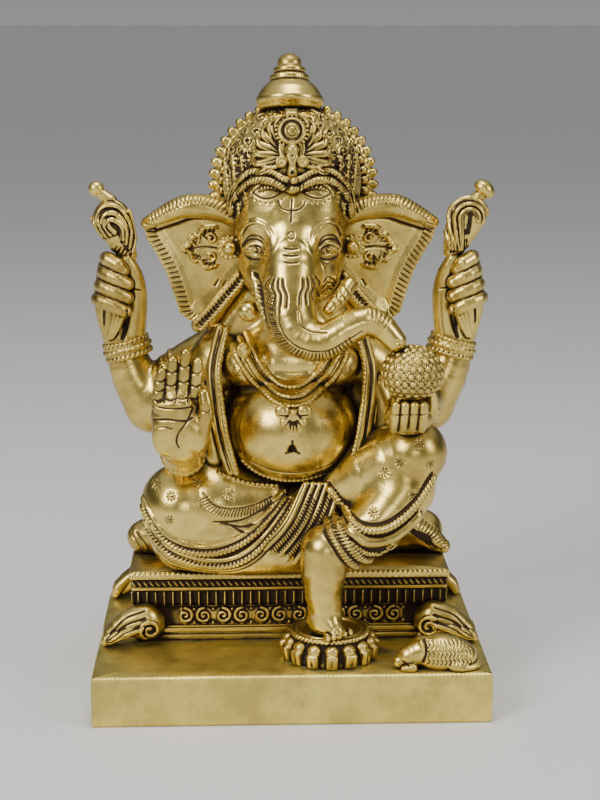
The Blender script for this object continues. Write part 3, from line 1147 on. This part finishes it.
def make_goad(side, name, node):
    """The held coil at the figure's left: nested arcs like a snail's shell, and a tilted disc knob."""
    clay = over(node, step=0.3)
    clay.limb(*across(side, (60.4, 2.0, 166.5, 3.4), (62.6, 2.2, 172.0, 5.4), (66.0, 2.2, 180.0, 7.2)),
            blend=1)
    x_coil, z_coil = at(side * 66.0, 179.6)
    for radius in (9.2, 7.2, 5.2, 3.4):
        points = [(x_coil + (x - x_coil) * side, z) for x, z in arc((x_coil, z_coil), radius, -10, 190)]
        points += [(x_coil - side * (radius * 0.9), 174.0), (x_coil - side * (radius * 0.55 + 1.0), 168.4)]
        clay.relief(points, 1.0, 0.3, 0.15)
        inner = [(x_coil + (x - x_coil) * 0.86, z_coil + (z - z_coil) * 0.86) for x, z in points]
        clay.engrave(*inner, width=0.5)
    clay.engrave(*across(side, (66.2, 181.6), (66.0, 178.0), (65.6, 174.4)), width=1.1)
    clay.hatch(across(side, (59.0, 168.0), (66.0, 170.4)), 3.2, 1.3, 0.3)
    clay.limb(*across(side, (68.0, 2.2, 185.0, 2.8), (71.4, 2.6, 188.2, 2.1)), blend=0.6)
    clay.ellipsoid(at(side * 72.2, 2.8, 189.8), (4.3, 3.6, 3.1), (0, side * 40, 0), blend=0.2)
    clay.ellipsoid(at(side * 72.6, 1.8, 191.0), (2.0, 1.6, 1.4), blend=0.3)
    cast(name, clay)


def make_front_right_arm():
    clay = over("front_right_arm", step=0.4)
    clay.limb((-26, -3, 127, 11.0), (-36, -3, 113, 9.8), (-41, -5, 101, 8.8))
    clay.limb((-41, -5, 101, 8.6), (-39.5, -22, 97.0, 7.2), blend=2)
    clay.rope_ring((-31.5, -3, 119.5), (-0.56, 0, -0.8), 10.6, 1.0, 1.9)
    clay.rope_ring((-33.4, -3, 116.6), (-0.56, 0, -0.8), 10.3, 0.8, 1.7)
    cast("front_right_arm", clay)


def make_open_hand():
    """The raised right hand, palm outward: four fingers side by side with creased joints, and the thumb."""
    clay = over("front_right_hand", step=0.32)
    clay.limb((-39.0, -27, 97.0, 7.6), (-39.2, -31, 103.0, 8.6), (-39.6, -33.4, 111.0, 9.0),
            (-40.4, -34.0, 117.0, 8.4))
    clay.ellipsoid((-39.4, -33.4, 104.0), (10.0, 6.4, 8.4), blend=2)
    clay.ellipsoid((-39.9, -34.4, 112.4), (10.4, 5.6, 9.0), blend=2)
    clay.ellipsoid((-45.4, -37.4, 108.0), (4.4, 3.8, 9.0), (0, 6, 0), blend=2.0)
    clay.ellipsoid((-34.0, -38.6, 107.4), (4.8, 4.4, 7.6), (0, -8, 0), blend=2.0)
    clay.ellipsoid((-41.4, -38.4, 117.2), (8.2, 3.0, 2.8), blend=1.4)
    tips = ((-46.0, 130.6), (-42.0, 134.8), (-37.4, 137.4), (-33.2, 134.2))
    for index, (x, z) in enumerate(tips):
        root = np.array((-47.6 + 4.35 * index, -36.8, 117.6))
        tip = np.array((x, -37.8, z - 1.4))
        clay.limb((*root, 2.45), (*(root + (tip - root) * 0.3 + (0, -0.4, 0)), 2.4),
                (*(root + (tip - root) * 0.65), 2.3), (*tip, 1.95), blend=0.3)
        for share in (0.16, 0.46, 0.76):
            spot = root + (tip - root) * share
            clay.engrave((spot[0] - 1.8, spot[2] + 0.3), (spot[0], spot[2] - 0.2),
                    (spot[0] + 1.8, spot[2] + 0.3), width=0.5)
        edge = root + (tip - root) * 0.5 + (2.2, 0, 0)
        clay.engrave((root[0] + 2.2, root[2] + 1.6), (edge[0], edge[2]), (tip[0] + 2.1, tip[2] - 1.6),
                width=0.45)
    clay.limb((-32.6, -38.0, 108.0, 3.4), (-30.2, -41.0, 114.6, 2.8), (-30.4, -41.6, 118.6, 2.5),
            (-31.0, -41.0, 122.0, 2.1), blend=1.0)
    clay.engrave((-32.4, 116.4), (-30.4, 116.0), (-28.6, 116.6), width=0.4)
    clay.engrave((-49.6, 117.4), (-43.0, 117.0), (-35.0, 117.4), width=0.5)
    clay.engrave((-49.0, 112.6), (-44.0, 113.0), (-38.0, 112.6), (-35.2, 113.6), width=0.5)
    clay.engrave((-48.4, 109.8), (-45.0, 110.2), (-42.4, 109.6), width=0.34)
    clay.engrave((-34.6, 117.0), (-37.4, 112.0), (-40.2, 108.0), (-41.0, 104.6), (-40.2, 102.2), width=0.42)
    cast("open_hand", clay)


def make_front_left_arm():
    clay = over("front_left_arm", step=0.4)
    clay.limb((28, -3, 127, 11.0), (40, -2, 119, 9.8), (50, -3, 111, 8.6))
    clay.limb((50, -3, 111, 8.2), (46.5, -20, 108.5, 6.8), blend=2)
    clay.rope_ring((34.0, -2.6, 123.0), (0.82, 0, -0.56), 10.4, 1.0, 1.9)
    clay.rope_ring((36.6, -2.4, 121.4), (0.82, 0, -0.58), 10.2, 0.8, 1.7)
    cast("front_left_arm", clay)


def make_cupped_hand():
    """The left hand, cupped under the sweets, its short fingers laid up their front."""
    clay = over("front_left_hand", step=0.32)
    clay.limb((46.4, -22.0, 108.6, 6.4), (45.0, -27.0, 109.4, 6.6), (42.6, -34.0, 112.6, 6.2))
    clay.ellipsoid((42.0, -36.0, 111.6), (8.8, 6.4, 6.0), blend=1.5)
    for index in range(4):
        x = 36.2 + 3.35 * index
        clay.limb((x, -40.4, 108.6, 1.6), (x + 0.2, -43.0, 113.0, 1.75), (x + 0.3, -45.4, 118.2, 1.65),
                blend=0.2)
        clay.engrave((x - 1.0, 114.8), (x + 1.3, 114.8), width=0.3)
    clay.limb((49.6, -33.0, 110.6, 2.6), (50.6, -36.8, 115.6, 2.2), (50.0, -39.0, 120.6, 1.8), blend=0.8)
    cast("cupped_hand", clay)


def make_sweets():
    """The heap of sweets: a squat ball pressed full of small round grains."""
    clay = over("sweet_heap", step=0.3)
    centre = np.array((43.0, -38.0, 128.6))
    clay.ellipsoid(centre, (11.0, 10.8, 9.8))
    for row in range(9):
        tilt = math.radians(-46 + 16 * row)
        count = max(1, round(2 * math.pi * 11.0 * math.cos(tilt) / 2.9))
        for index in range(count):
            turn = 2 * math.pi * (index + 0.5 * (row % 2)) / count
            out = np.array((math.cos(tilt) * math.cos(turn), math.cos(tilt) * math.sin(turn),
                    math.sin(tilt)))
            spot = centre + out * (10.6, 10.4, 9.4)
            clay.ball(spot - out * 0.35, 1.3, 0.3)
            ring_line = circle_points(spot + out * 0.5, out, 1.3, 9)
            clay.scratch(np.vstack([ring_line, ring_line[:1]]), 0.3)
    cast("sweets", clay)


# ---------------------------------------------------------------- footrest and mouse
def make_lotus():
    """The round footrest: blocky petals under a twisted rim and a smooth disc."""
    centre = mid("lotus_footrest") - GROUND
    x, y = centre[0], -26.4
    clay = over("lotus_footrest", step=0.36)
    clay.lathe((x, y, 19.0), ((0, 16.0), (1.2, 16.2), (4.0, 15.4), (6.6, 14.6), (8.2, 14.2), (9.0, 14.6),
            (9.8, 14.0), (9.9, 0.1)))
    for index in range(15):
        turn = 2 * math.pi * (index + 0.25) / 15
        out = np.array((math.cos(turn), math.sin(turn), 0))
        spot = np.array((x, y, 19.0)) + out * 16.0
        clay.block(spot + (0, 0, 2.6), (2.4, 2.3, 3.4), (0, 12, math.degrees(turn)), rounding=1.2,
                blend=0.3)
        clay.ellipsoid(spot - out * 0.6 + (0, 0, 6.6), (2.2, 2.6, 1.9), (0, 0, math.degrees(turn)),
                blend=0.4)
        line = [spot + out * 2.3 + (0, 0, t) for t in np.linspace(0.6, 4.4, 8)]
        clay.scratch(line, 0.4)
    clay.rope_ring((x, y, 28.4), (0, 0, 1), 14.0, 1.05, 1.7)
    clay.ring((x, y, 29.2), (0, 0, 1), 11.8, 0.4, 0.2)
    clay.keep_above(19.1)
    cast("lotus", clay)


def make_mouse():
    """The mouse, lying with its head to the figure's right, its fur cut in fine lines."""
    clay = over("mouse_body", "mouse_right_ear", "mouse_left_ear", "mouse_tail", step=0.3)
    clay.ellipsoid((55.0, -40.4, 24.0), (10.6, 6.8, 7.4), (0, 4, 0))
    clay.ellipsoid((61.5, -40.4, 22.8), (6.6, 6.6, 5.6), blend=1.5)
    clay.limb((47.5, -41.0, 25.4, 5.4), (43.0, -41.4, 23.6, 4.2), (39.4, -41.8, 21.6, 2.4), blend=1.0)
    for side in (-1, 1):
        clay.ellipsoid((47.4, -41.0 + side * 3.6, 28.6), (1.0, 1.9, 2.5), (0, -20, 0), blend=0.4)
        clay.ball((41.6, -41.5 + side * 2.9, 24.2), 0.8, 0.2)
        clay.limb((44.0, -41 + side * 4.6, 20.4, 1.7), (40.6, -41.2 + side * 4.2, 19.9, 1.2), blend=0.5)
    clay.limb((68.0, -39.5, 22.0, 1.4), (67.5, -44.0, 20.4, 1.3), (62.0, -47.0, 20.3, 1.1), blend=0.4)
    clay.ellipsoid((60.5, -46.2, 21.2), (3.6, 1.8, 2.4), blend=0.6)
    clay.keep_above(19.1)
    for index in range(11):
        x = 49.6 + 1.55 * index
        for z in (29.0, 25.8, 22.8):
            clay.engrave((x - 0.2, z + 1.1), (x + 0.4, z), (x - 0.2, z - 1.2), width=0.24)
    clay.engrave((48.2, 30.6), (48.8, 27.0), (47.6, 22.4), width=0.6)
    clay.engrave((40.0, 22.6), (42.4, 21.4), width=0.36)
    cast("mouse", clay)


# ---------------------------------------------------------------- throne
def make_foot(name, node, side, front):
    """A lion's paw under the throne: broad curved ridges from a scrolled heel out to rounded toes."""
    clay = over(node, step=0.34, margin=3.5)
    lowest, highest = low(node) - GROUND, high(node) - GROUND
    x, y = (lowest[0] + highest[0]) / 2 - side * 1.5, (lowest[1] + highest[1]) / 2
    face = -1 if front else 1

    def paw(*points):
        """Points given outwards from the heel along X and Y."""
        return [(x + side * u, y + face * v, *rest) for u, v, *rest in points]

    clay.ellipsoid(*paw((-4.0, -1.0, 27.0)), (8.0, 6.0, 6.8))
    clay.limb(*paw((-5.0, 0.0, 30.0, 4.2), (2.0, 0.4, 27.4, 4.8), (8.0, 0.8, 23.0, 3.8)), blend=2.0)
    for toe in range(4):
        drift = -3.6 + 2.5 * toe
        clay.limb(*paw((-3.0, drift * 0.8 + 1.4, 31.4 - 1.8 * toe, 1.5),
                (4.0, drift + 1.0, 28.6 - 1.5 * toe, 1.9), (9.6, drift + 0.6, 23.4 - 0.5 * toe, 2.2),
                (10.6, drift + 0.4, 21.2, 1.8)), blend=0.3)
    clay.keep_above(19.2)
    if front:
        clay.relief(spiral((x - side * 6.6, 25.6), 4.0, 90 * (1 - side) + 60, side * 1.4), 0.9, 0.3, 0.2)
        clay.engrave(*spiral((x - side * 6.6, 25.6), 3.0, 90 * (1 - side) + 90, side * 1.3), width=0.55)
        for index in range(4):
            rise = 2.6 * index
            clay.engrave((x - side * 4.6, 33.0 - rise), (x + side * 2.6, 30.4 - rise),
                    (x + side * 7.0, 26.0 - rise * 0.8), (x + side * 10.0, 22.8 - rise * 0.3), width=0.55)
    cast(name, clay)


def course(name, node, profile, relief=None, spacing=0.45, corner=1.2, slot="brass", waver=0.0):
    """A band round the throne or plinth: a profile of (height, inset, relief share) carried round it."""
    lowest, highest = low(node) - GROUND, high(node) - GROUND
    half = (highest - lowest) / 2
    centre = (highest + lowest) / 2
    straight_x, straight_y = half[0] - corner, half[1] - corner
    bend = max(3, round(0.5 * math.pi * corner / spacing))
    outline = []
    for quarter, (sx, sy) in enumerate(((1, -1), (1, 1), (-1, 1), (-1, -1))):
        for step in range(bend + 1):
            turn = math.radians(-90 + 90 * quarter + 90 * step / bend)
            outline.append((sx * straight_x, sy * straight_y, math.cos(turn), math.sin(turn)))
        next_x, next_y = ((1, 1), (-1, 1), (-1, -1), (1, -1))[quarter]
        length = 2 * (straight_y if quarter % 2 == 0 else straight_x)
        count = max(2, int(length / (spacing * COARSE)))
        way = np.array(((next_x - sx) * straight_x, (next_y - sy) * straight_y))
        turn = math.radians(90 * quarter)
        for step in range(1, count):
            spot = np.array((sx * straight_x, sy * straight_y)) + way * step / count
            outline.append((spot[0], spot[1], math.cos(turn), math.sin(turn)))
    outline = np.array(outline)
    edge = outline[:, :2] + outline[:, 2:] * corner
    gaps = np.linalg.norm(np.diff(np.vstack([edge, edge[:1]]), axis=0), axis=1)
    along = np.concatenate([[0], np.cumsum(gaps)[:-1]])
    total = gaps.sum()
    height = highest[2] - lowest[2]
    rows, ink = [], []
    for level, inset, share in profile:
        carved = relief(along, level, total) * share if relief is not None else np.zeros(len(along))
        wave = waver * (np.sin(along / 17.0) + 0.6 * np.sin(along / 7.3 + 2.0 * level))
        scale = np.clip(1 - inset / (half[:2].min() + 1e-6), 0, 1) if inset > 6 else 1.0
        out = (corner - inset - carved + wave)[:, None] * outline[:, 2:]
        flat = (outline[:, :2] + out) if scale == 1.0 else edge * scale
        rows.append(np.column_stack([centre[:2] + flat, np.full(len(flat), lowest[2] + level * height)]))
        ink.append(np.clip(carved / 0.8, 0, 1))
    count = len(along)
    points = np.vstack(rows)
    faces = []
    for row in range(len(rows) - 1):
        a = row * count + np.arange(count)
        b = row * count + (np.arange(count) + 1) % count
        faces.append(np.column_stack([a, b, b + count, a + count]))
    faces = np.vstack(faces)
    normals = point_normals(points, faces)
    SPACE.fill_box(lowest, highest)
    publish(name, (node,), points, faces, normals, np.zeros(len(points)), np.concatenate(ink), slot)


def banded(*stops, rows=6):
    """A profile with extra rows between its stops, closed over the top and bottom towards the middle."""
    profile = [(stops[0][0], inset, 0) for inset in (60, 45, 25, 12)]
    for (a, b) in zip(stops, stops[1:]):
        for step in range(rows):
            share = step / rows
            profile.append(tuple(a[k] + (b[k] - a[k]) * share for k in range(3)))
    profile.append(stops[-1])
    return profile + [(stops[-1][0], inset, 0) for inset in (8, 16, 30, 45, 60)]


def wave(along, total, pitch, level=0.0, slant=0.0):
    """A wave from 0 to 1 round a course, a whole number of times, slanting with the level."""
    length = total / round(total / pitch)
    return 0.5 + 0.5 * np.cos(2 * np.pi * (along / length + slant * level))


def ribs(along, level, total):
    return 1.5 * (1 - (1 - wave(along, total, 3.3)) ** 2.6)


def rope_and_ticks(along, level, total):
    """A slanting rope on the lower part of the course and fine ticks on its upper edge."""
    if level < 0.6:
        return 0.7 * wave(along, total, 2.3, level, 1.6)
    return 0.5 * wave(along, total, 1.9) ** 3


def notches(along, level, total):
    return 0.30 * wave(along, total, 1.5) ** 4


def make_throne():
    course("throne_base", "throne_base", banded((0.0, 0.0, 0.0), (0.1, 0.0, 0.0), (0.42, 0.0, 0.0),
            (0.5, 0.9, 0), (0.6, 0.9, 0.0), (0.66, 0.2, 0), (0.94, 0.2, 0), (1.0, 0.8, 0)), None, 0.8)
    course("throne_frieze", "throne_frieze", banded((0.0, 0.0, 0.0), (0.06, 0.0, 0.0), (0.1, 1.2, 0.0),
            (0.9, 1.2, 0), (0.94, 0.0, 0), (1.0, 0.0, 0)), None, 0.8)
    course("throne_ribs", "throne_ribbed_band", banded((0.0, 1.6, 0.0), (0.04, 1.4, 0.9), (0.14, 0.2, 1),
            (0.66, 0.0, 1), (0.74, 0.5, 0.6), (0.78, 1.2, 0), (0.82, 0.3, 0), (0.94, 0.0, 0.0),
            (1.0, 0.6, 0)), ribs, 0.32)
    course("throne_rope_and_slab", "throne_seat_slab", banded((0.0, 1.4, 0.0), (0.04, 0.8, 1.0),
            (0.2, 0.4, 1.0), (0.38, 0.8, 1.0), (0.44, 1.5, 0.0), (0.5, 0.4, 0), (0.54, 0.0, 0.2),
            (0.82, 0.0, 0.2), (0.9, 0.1, 1.0), (1.0, 0.7, 0.6)), rope_and_ticks, 0.32)


def make_frieze_scrolls():
    """Wave scrolls in relief along the front of the throne, each with a bead between."""
    clay = over("frieze_scrolls", step=0.3)
    lowest, highest = low("frieze_scrolls") - GROUND, high("frieze_scrolls") - GROUND
    y, z = highest[1] + 0.8, (lowest[2] + highest[2]) / 2
    clay.block(at(0, y + 0.4, z), (highest[0] - MIDDLE, 0.7, 4.0), rounding=0.2)
    count = 12
    pitch = (highest[0] - lowest[0]) / count
    for index in range(count):
        x = lowest[0] + pitch * (index + 0.5)
        way = 1 if index % 2 else -1
        clay.relief(spiral((x, z), 3.1, 90, way * 1.4, 0.15), 0.68, 0.25, 0.1)
        clay.engrave(*spiral((x, z), 2.2, 100, way * 1.2, 0.15), width=0.4)
        clay.engrave(*arc((x, z), 4.0, 30, 150), width=0.45)
        clay.engrave(*arc((x, z), 4.0, 210, 330), width=0.45)
        clay.ball((x + pitch / 2, y - 0.7, z + 2.6), 0.75, 0.1)
        clay.ball((x + pitch / 2, y - 0.7, z - 2.6), 0.75, 0.1)
    cast("frieze_scrolls", clay)


def make_plinth():
    """The plinth: slightly uneven smooth faces under a finely notched top edge."""
    course("plinth_shell", "plinth", banded((0.0, 0.9, 0.0), (0.04, 0.2, 0.0), (0.10, 0.0, 0),
            (0.50, 0.0, 0), (0.86, 0.0, 0.0), (0.93, 0.05, 0.5), (0.97, 0.25, 1.0), (1.0, 1.1, 1.0)),
            notches, 0.36, 1.0, "polished_brass", 0.07)


# ---------------------------------------------------------------- materials
class Nodes:
    """Short names for building a material's node tree."""

    def __init__(self, name):
        self.material = bpy.data.materials.new(name)
        self.material.use_nodes = True
        self.tree = self.material.node_tree
        self.shader = self.tree.nodes["Principled BSDF"]
        self.place = self.tree.nodes.new("ShaderNodeTexCoord").outputs["Object"]

    def new(self, kind, **settings):
        node = self.tree.nodes.new(kind)
        for key, value in settings.items():
            setattr(node, key, value)
        return node

    def plug(self, source, socket):
        if isinstance(source, (int, float)):
            socket.default_value = source
        else:
            self.tree.links.new(source, socket)

    def math(self, operation, a, b=0.0, clamp=False):
        node = self.new("ShaderNodeMath", operation=operation, use_clamp=clamp)
        self.plug(a, node.inputs[0])
        self.plug(b, node.inputs[1])
        return node.outputs[0]

    def span(self, value, low_in, high_in, low_out=0.0, high_out=1.0):
        node = self.new("ShaderNodeMapRange", interpolation_type="SMOOTHSTEP")
        for index, part in enumerate((value, low_in, high_in, low_out, high_out)):
            self.plug(part, node.inputs[index])
        return node.outputs[0]

    def noise(self, scale, detail=4.0, rough=0.55):
        node = self.new("ShaderNodeTexNoise")
        self.plug(self.place, node.inputs["Vector"])
        node.inputs["Scale"].default_value = scale
        node.inputs["Detail"].default_value = detail
        node.inputs["Roughness"].default_value = rough
        return node.outputs["Fac"]

    def stored(self, name):
        return self.new("ShaderNodeAttribute", attribute_name=name).outputs["Fac"]

    def blend(self, share, a, b):
        node = self.new("ShaderNodeMix", data_type="RGBA")
        self.plug(share, node.inputs[0])
        for source, socket in ((a, node.inputs[6]), (b, node.inputs[7])):
            if isinstance(source, tuple):
                socket.default_value = (*source, 1)
            else:
                self.tree.links.new(source, socket)
        return node.outputs[2]


def brass(name, bright, tarnished, recess, verdigris, dirt_gain, polish, stain=0.0):
    """Cast brass: rubbed bright where it stands proud, brown to black in its hollows and engraved lines."""
    n = Nodes(name)
    broad, middle, fine, grain = n.noise(38, 4), n.noise(170, 5), n.noise(900, 3), n.noise(2600, 2)
    hollow, ink, shade = n.stored("hollow"), n.stored("ink"), n.stored("shade")
    depth = n.math("ADD", n.math("MULTIPLY", hollow, 1.15), n.math("MULTIPLY", ink, 0.98))
    depth = n.math("ADD", depth, n.math("MULTIPLY", shade, 1.3))
    depth = n.math("ADD", depth, n.math("MULTIPLY", n.math("SUBTRACT", middle, 0.5), 0.75))
    depth = n.math("ADD", depth, n.math("MULTIPLY", n.math("SUBTRACT", fine, 0.5), 0.25))
    dirt = n.span(n.math("MULTIPLY", depth, dirt_gain), 0.26, 0.92)
    rubbed = n.span(n.math("SUBTRACT", n.math("ADD", broad, n.math("MULTIPLY", middle, 0.5)),
            n.math("MULTIPLY", shade, 0.7)), 0.52, 0.96)
    metal = n.blend(rubbed, tarnished, bright)
    green = n.span(n.math("ADD", n.noise(62, 3), n.math("MULTIPLY", shade, 0.35)), 0.60, 0.86)
    metal = n.blend(n.math("MULTIPLY", green, 0.30 + stain), metal, verdigris)
    if stain:
        spots = n.span(n.math("ADD", n.noise(95, 6, 0.7), n.math("MULTIPLY", broad, 0.3)), 0.70, 0.90)
        metal = n.blend(n.math("MULTIPLY", spots, 0.55), metal, STAIN_BROWN)
    n.plug(n.blend(dirt, metal, recess), n.shader.inputs["Base Color"])
    n.plug(n.math("SUBTRACT", 1.0, n.math("MULTIPLY", dirt, 0.45)), n.shader.inputs["Metallic"])
    rough = n.math("ADD", polish, n.math("MULTIPLY", dirt, 0.38))
    rough = n.math("ADD", rough, n.math("MULTIPLY", n.math("SUBTRACT", middle, 0.5), 0.26))
    rough = n.math("ADD", rough, n.math("MULTIPLY", n.math("SUBTRACT", 1.0, rubbed), 0.08), clamp=True)
    n.plug(rough, n.shader.inputs["Roughness"])
    height = n.math("ADD", n.math("MULTIPLY", middle, 0.55), n.math("MULTIPLY", fine, 0.20))
    height = n.math("ADD", height, n.math("MULTIPLY", grain, 0.06))
    bump = n.new("ShaderNodeBump")
    bump.inputs["Strength"].default_value = 0.35
    bump.inputs["Distance"].default_value = 0.0006
    n.plug(height, bump.inputs["Height"])
    n.plug(bump.outputs["Normal"], n.shader.inputs["Normal"])
    return n.material


ORNATE = ("crown", "plume", "necklace", "shawl", "lock", "fist", "throne", "frieze", "paw", "lotus",
        "mouse", "held", "bangle", "sweets", "pleats", "parasol", "cupped")


BRIGHT, TARNISHED, VERDIGRIS = (0.85, 0.65, 0.18), (0.44, 0.31, 0.075), (0.26, 0.30, 0.10)
SATIN_BRIGHT, SATIN_DULL, SATIN_GREEN = (0.86, 0.70, 0.18), (0.56, 0.44, 0.12), (0.30, 0.34, 0.14)
BODY_RECESS, ORNATE_RECESS, SATIN_RECESS = (0.045, 0.024, 0.009), (0.034, 0.018, 0.007), (0.07, 0.05, 0.02)
STAIN_BROWN = (0.42, 0.29, 0.10)
FLOOR_GREYS = (0.66, 0.65, 0.63), (0.70, 0.69, 0.67)


def paint_all():
    body = brass("cast_brass", BRIGHT, TARNISHED, BODY_RECESS, VERDIGRIS, dirt_gain=1.2, polish=0.24)
    ornate = brass("aged_brass", BRIGHT, TARNISHED, ORNATE_RECESS, VERDIGRIS, dirt_gain=1.6, polish=0.28)
    plinth = brass("satin_brass", SATIN_BRIGHT, SATIN_DULL, SATIN_RECESS, SATIN_GREEN, dirt_gain=0.9,
            polish=0.40, stain=0.24)
    for piece, _, _ in pieces:
        finish = ornate if any(word in piece.name for word in ORNATE) else body
        piece.data.materials.append(plinth if piece.name == "plinth_shell" else finish)


# ---------------------------------------------------------------- floor, light and camera
def make_floor():
    bpy.ops.mesh.primitive_plane_add(size=400.0, location=(0, 0, GROUND[2] * MM))
    floor = bpy.context.object
    floor.name = "studio_floor"
    n = Nodes("pale_floor")
    n.plug(n.blend(n.noise(9, 3), *FLOOR_GREYS), n.shader.inputs["Base Color"])
    n.shader.inputs["Roughness"].default_value = 0.62
    floor.data.materials.append(n.material)


AIM = Vector((0, 0, 0.12))
LAMPS = (    # name, place in metres, size in metres, watts, colour
    ("window_left", (-0.75, -0.75, 0.75), (0.42, 0.55), 11.0, (1.0, 0.99, 0.97)),
    ("soft_right", (0.95, -0.55, 0.55), (0.22, 0.5), 4.4, (1.0, 0.98, 0.94)),
    ("overhead", (0.05, -0.15, 1.1), (0.5, 0.4), 6.2, (1, 1, 1)),
    ("low_front", (0.1, -1.3, 0.35), (0.35, 0.2), 1.6, (1, 1, 1)),
)
SKY = (    # height from 0 (straight down) to 1 (straight up), grey level
    (0.495, 0.31), (0.515, 0.29), (0.57, 0.06), (0.70, 0.10), (0.82, 0.46),
)
NADIR_HEIGHT, NADIR_COLOUR = 0.40, (0.14, 0.135, 0.13, 1)
ZENITH_COLOUR = (0.54, 0.55, 0.57, 1)
SKY_BLUE = 1.03    # how much more blue than red the greys of the sky hold
FOCAL_LENGTH, SENSOR_WIDTH = 77.76, 36
CAMERA_PLACE = (-17.9, -638.6, 250.0)
CAMERA_WAY = (0.034, 0.9765, -0.213)


def add_to_scene(name, data, place, way):
    """A lamp or camera at a place, looking along a way."""
    thing = bpy.data.objects.new(name, data)
    thing.location = place
    thing.rotation_euler = way.to_track_quat("-Z", "Y").to_euler()
    bpy.context.scene.collection.objects.link(thing)
    return thing


def make_lights():
    for name, place, (width, height), power, colour in LAMPS:
        lamp = bpy.data.lights.new(name, "AREA")
        lamp.shape, lamp.size, lamp.size_y = "RECTANGLE", width, height
        lamp.energy, lamp.color = power, colour
        add_to_scene(name, lamp, place, AIM - Vector(place))


def make_world():
    """A bright room, dark just over the horizon so that the metal shows its shape."""
    world = bpy.data.worlds.new("studio")
    bpy.context.scene.world = world
    world.use_nodes = True
    tree = world.node_tree
    backdrop = tree.nodes["Background"]
    place = tree.nodes.new("ShaderNodeTexCoord")
    split = tree.nodes.new("ShaderNodeSeparateXYZ")
    lift = tree.nodes.new("ShaderNodeMapRange")
    lift.inputs["From Min"].default_value = -1.0
    ramp = tree.nodes.new("ShaderNodeValToRGB")
    tree.links.new(place.outputs["Generated"], split.inputs[0])
    tree.links.new(split.outputs["Z"], lift.inputs[0])
    tree.links.new(lift.outputs[0], ramp.inputs[0])
    tree.links.new(ramp.outputs["Color"], backdrop.inputs["Color"])
    nadir, zenith = ramp.color_ramp.elements
    nadir.position, nadir.color = NADIR_HEIGHT, NADIR_COLOUR
    zenith.color = ZENITH_COLOUR
    for height, level in SKY:
        ramp.color_ramp.elements.new(height).color = (level, level, level * SKY_BLUE, 1)


def make_camera():
    lens = bpy.data.cameras.new("camera")
    lens.lens, lens.sensor_width = FOCAL_LENGTH, SENSOR_WIDTH
    place = Vector(CAMERA_PLACE) * MM + Vector(GROUND) * MM
    bpy.context.scene.camera = add_to_scene("camera", lens, place, Vector(CAMERA_WAY))


# ---------------------------------------------------------------- everything
def build():
    make_camera()
    make_lights()
    make_world()
    make_floor()
    make_plinth()
    make_throne()
    make_frieze_scrolls()
    for front in (True, False):
        for side, word in ((-1, "right"), (1, "left")):
            node = f"throne_foot_{'front' if front else 'rear'}_{word}"
            make_foot(node.replace("throne_foot", "lion_paw"), node, side, front)
    make_lotus()
    make_mouse()
    make_bolster()
    make_torso()
    make_folded_leg()
    make_raised_leg()
    make_pleats()
    make_head()
    make_crown()
    make_medallion()
    make_halo()
    make_parasol()
    for side, word in ((-1, "right"), (1, "left")):
        make_ear(side, f"{word}_ear_leaf", f"{word}_ear")
        make_ear_stud(side, f"{word}_ear_boss", f"{word}_ear_stud")
        make_hair_lock(side, f"{word}_lock", f"{word}_hair_lock")
        make_shawl(side, f"{word}_shawl_edge", f"{word}_shawl")
        make_rear_arm(side, f"rear_{word}_arm_cast", f"rear_{word}_arm")
        make_bangle(f"rear_{word}_bangle_cast", f"rear_{word}_bangle", at(side * 61.7, 8.0, 130.0),
                (side * 0.26, 0.02, 0.96), 8.6)
        make_rear_hand(side, f"rear_{word}_fist", f"rear_{word}_hand")
    make_noose(-1, "held_noose", "right_held_loop")
    make_goad(1, "held_goad", "left_held_loop")
    make_front_right_arm()
    make_bangle("front_right_bangle_cast", "front_right_bangle", (-39.3, -25.4, 96.6), (0.05, -0.92, 0.3),
            7.4)
    make_open_hand()
    make_front_left_arm()
    make_bangle("front_left_bangle_cast", "front_left_bangle", (46.2, -22.2, 111.0), (-0.1, -0.95, 0.2),
            8.0)
    make_cupped_hand()
    make_sweets()
    make_necklace()
    store_shade()
    paint_all()


build()
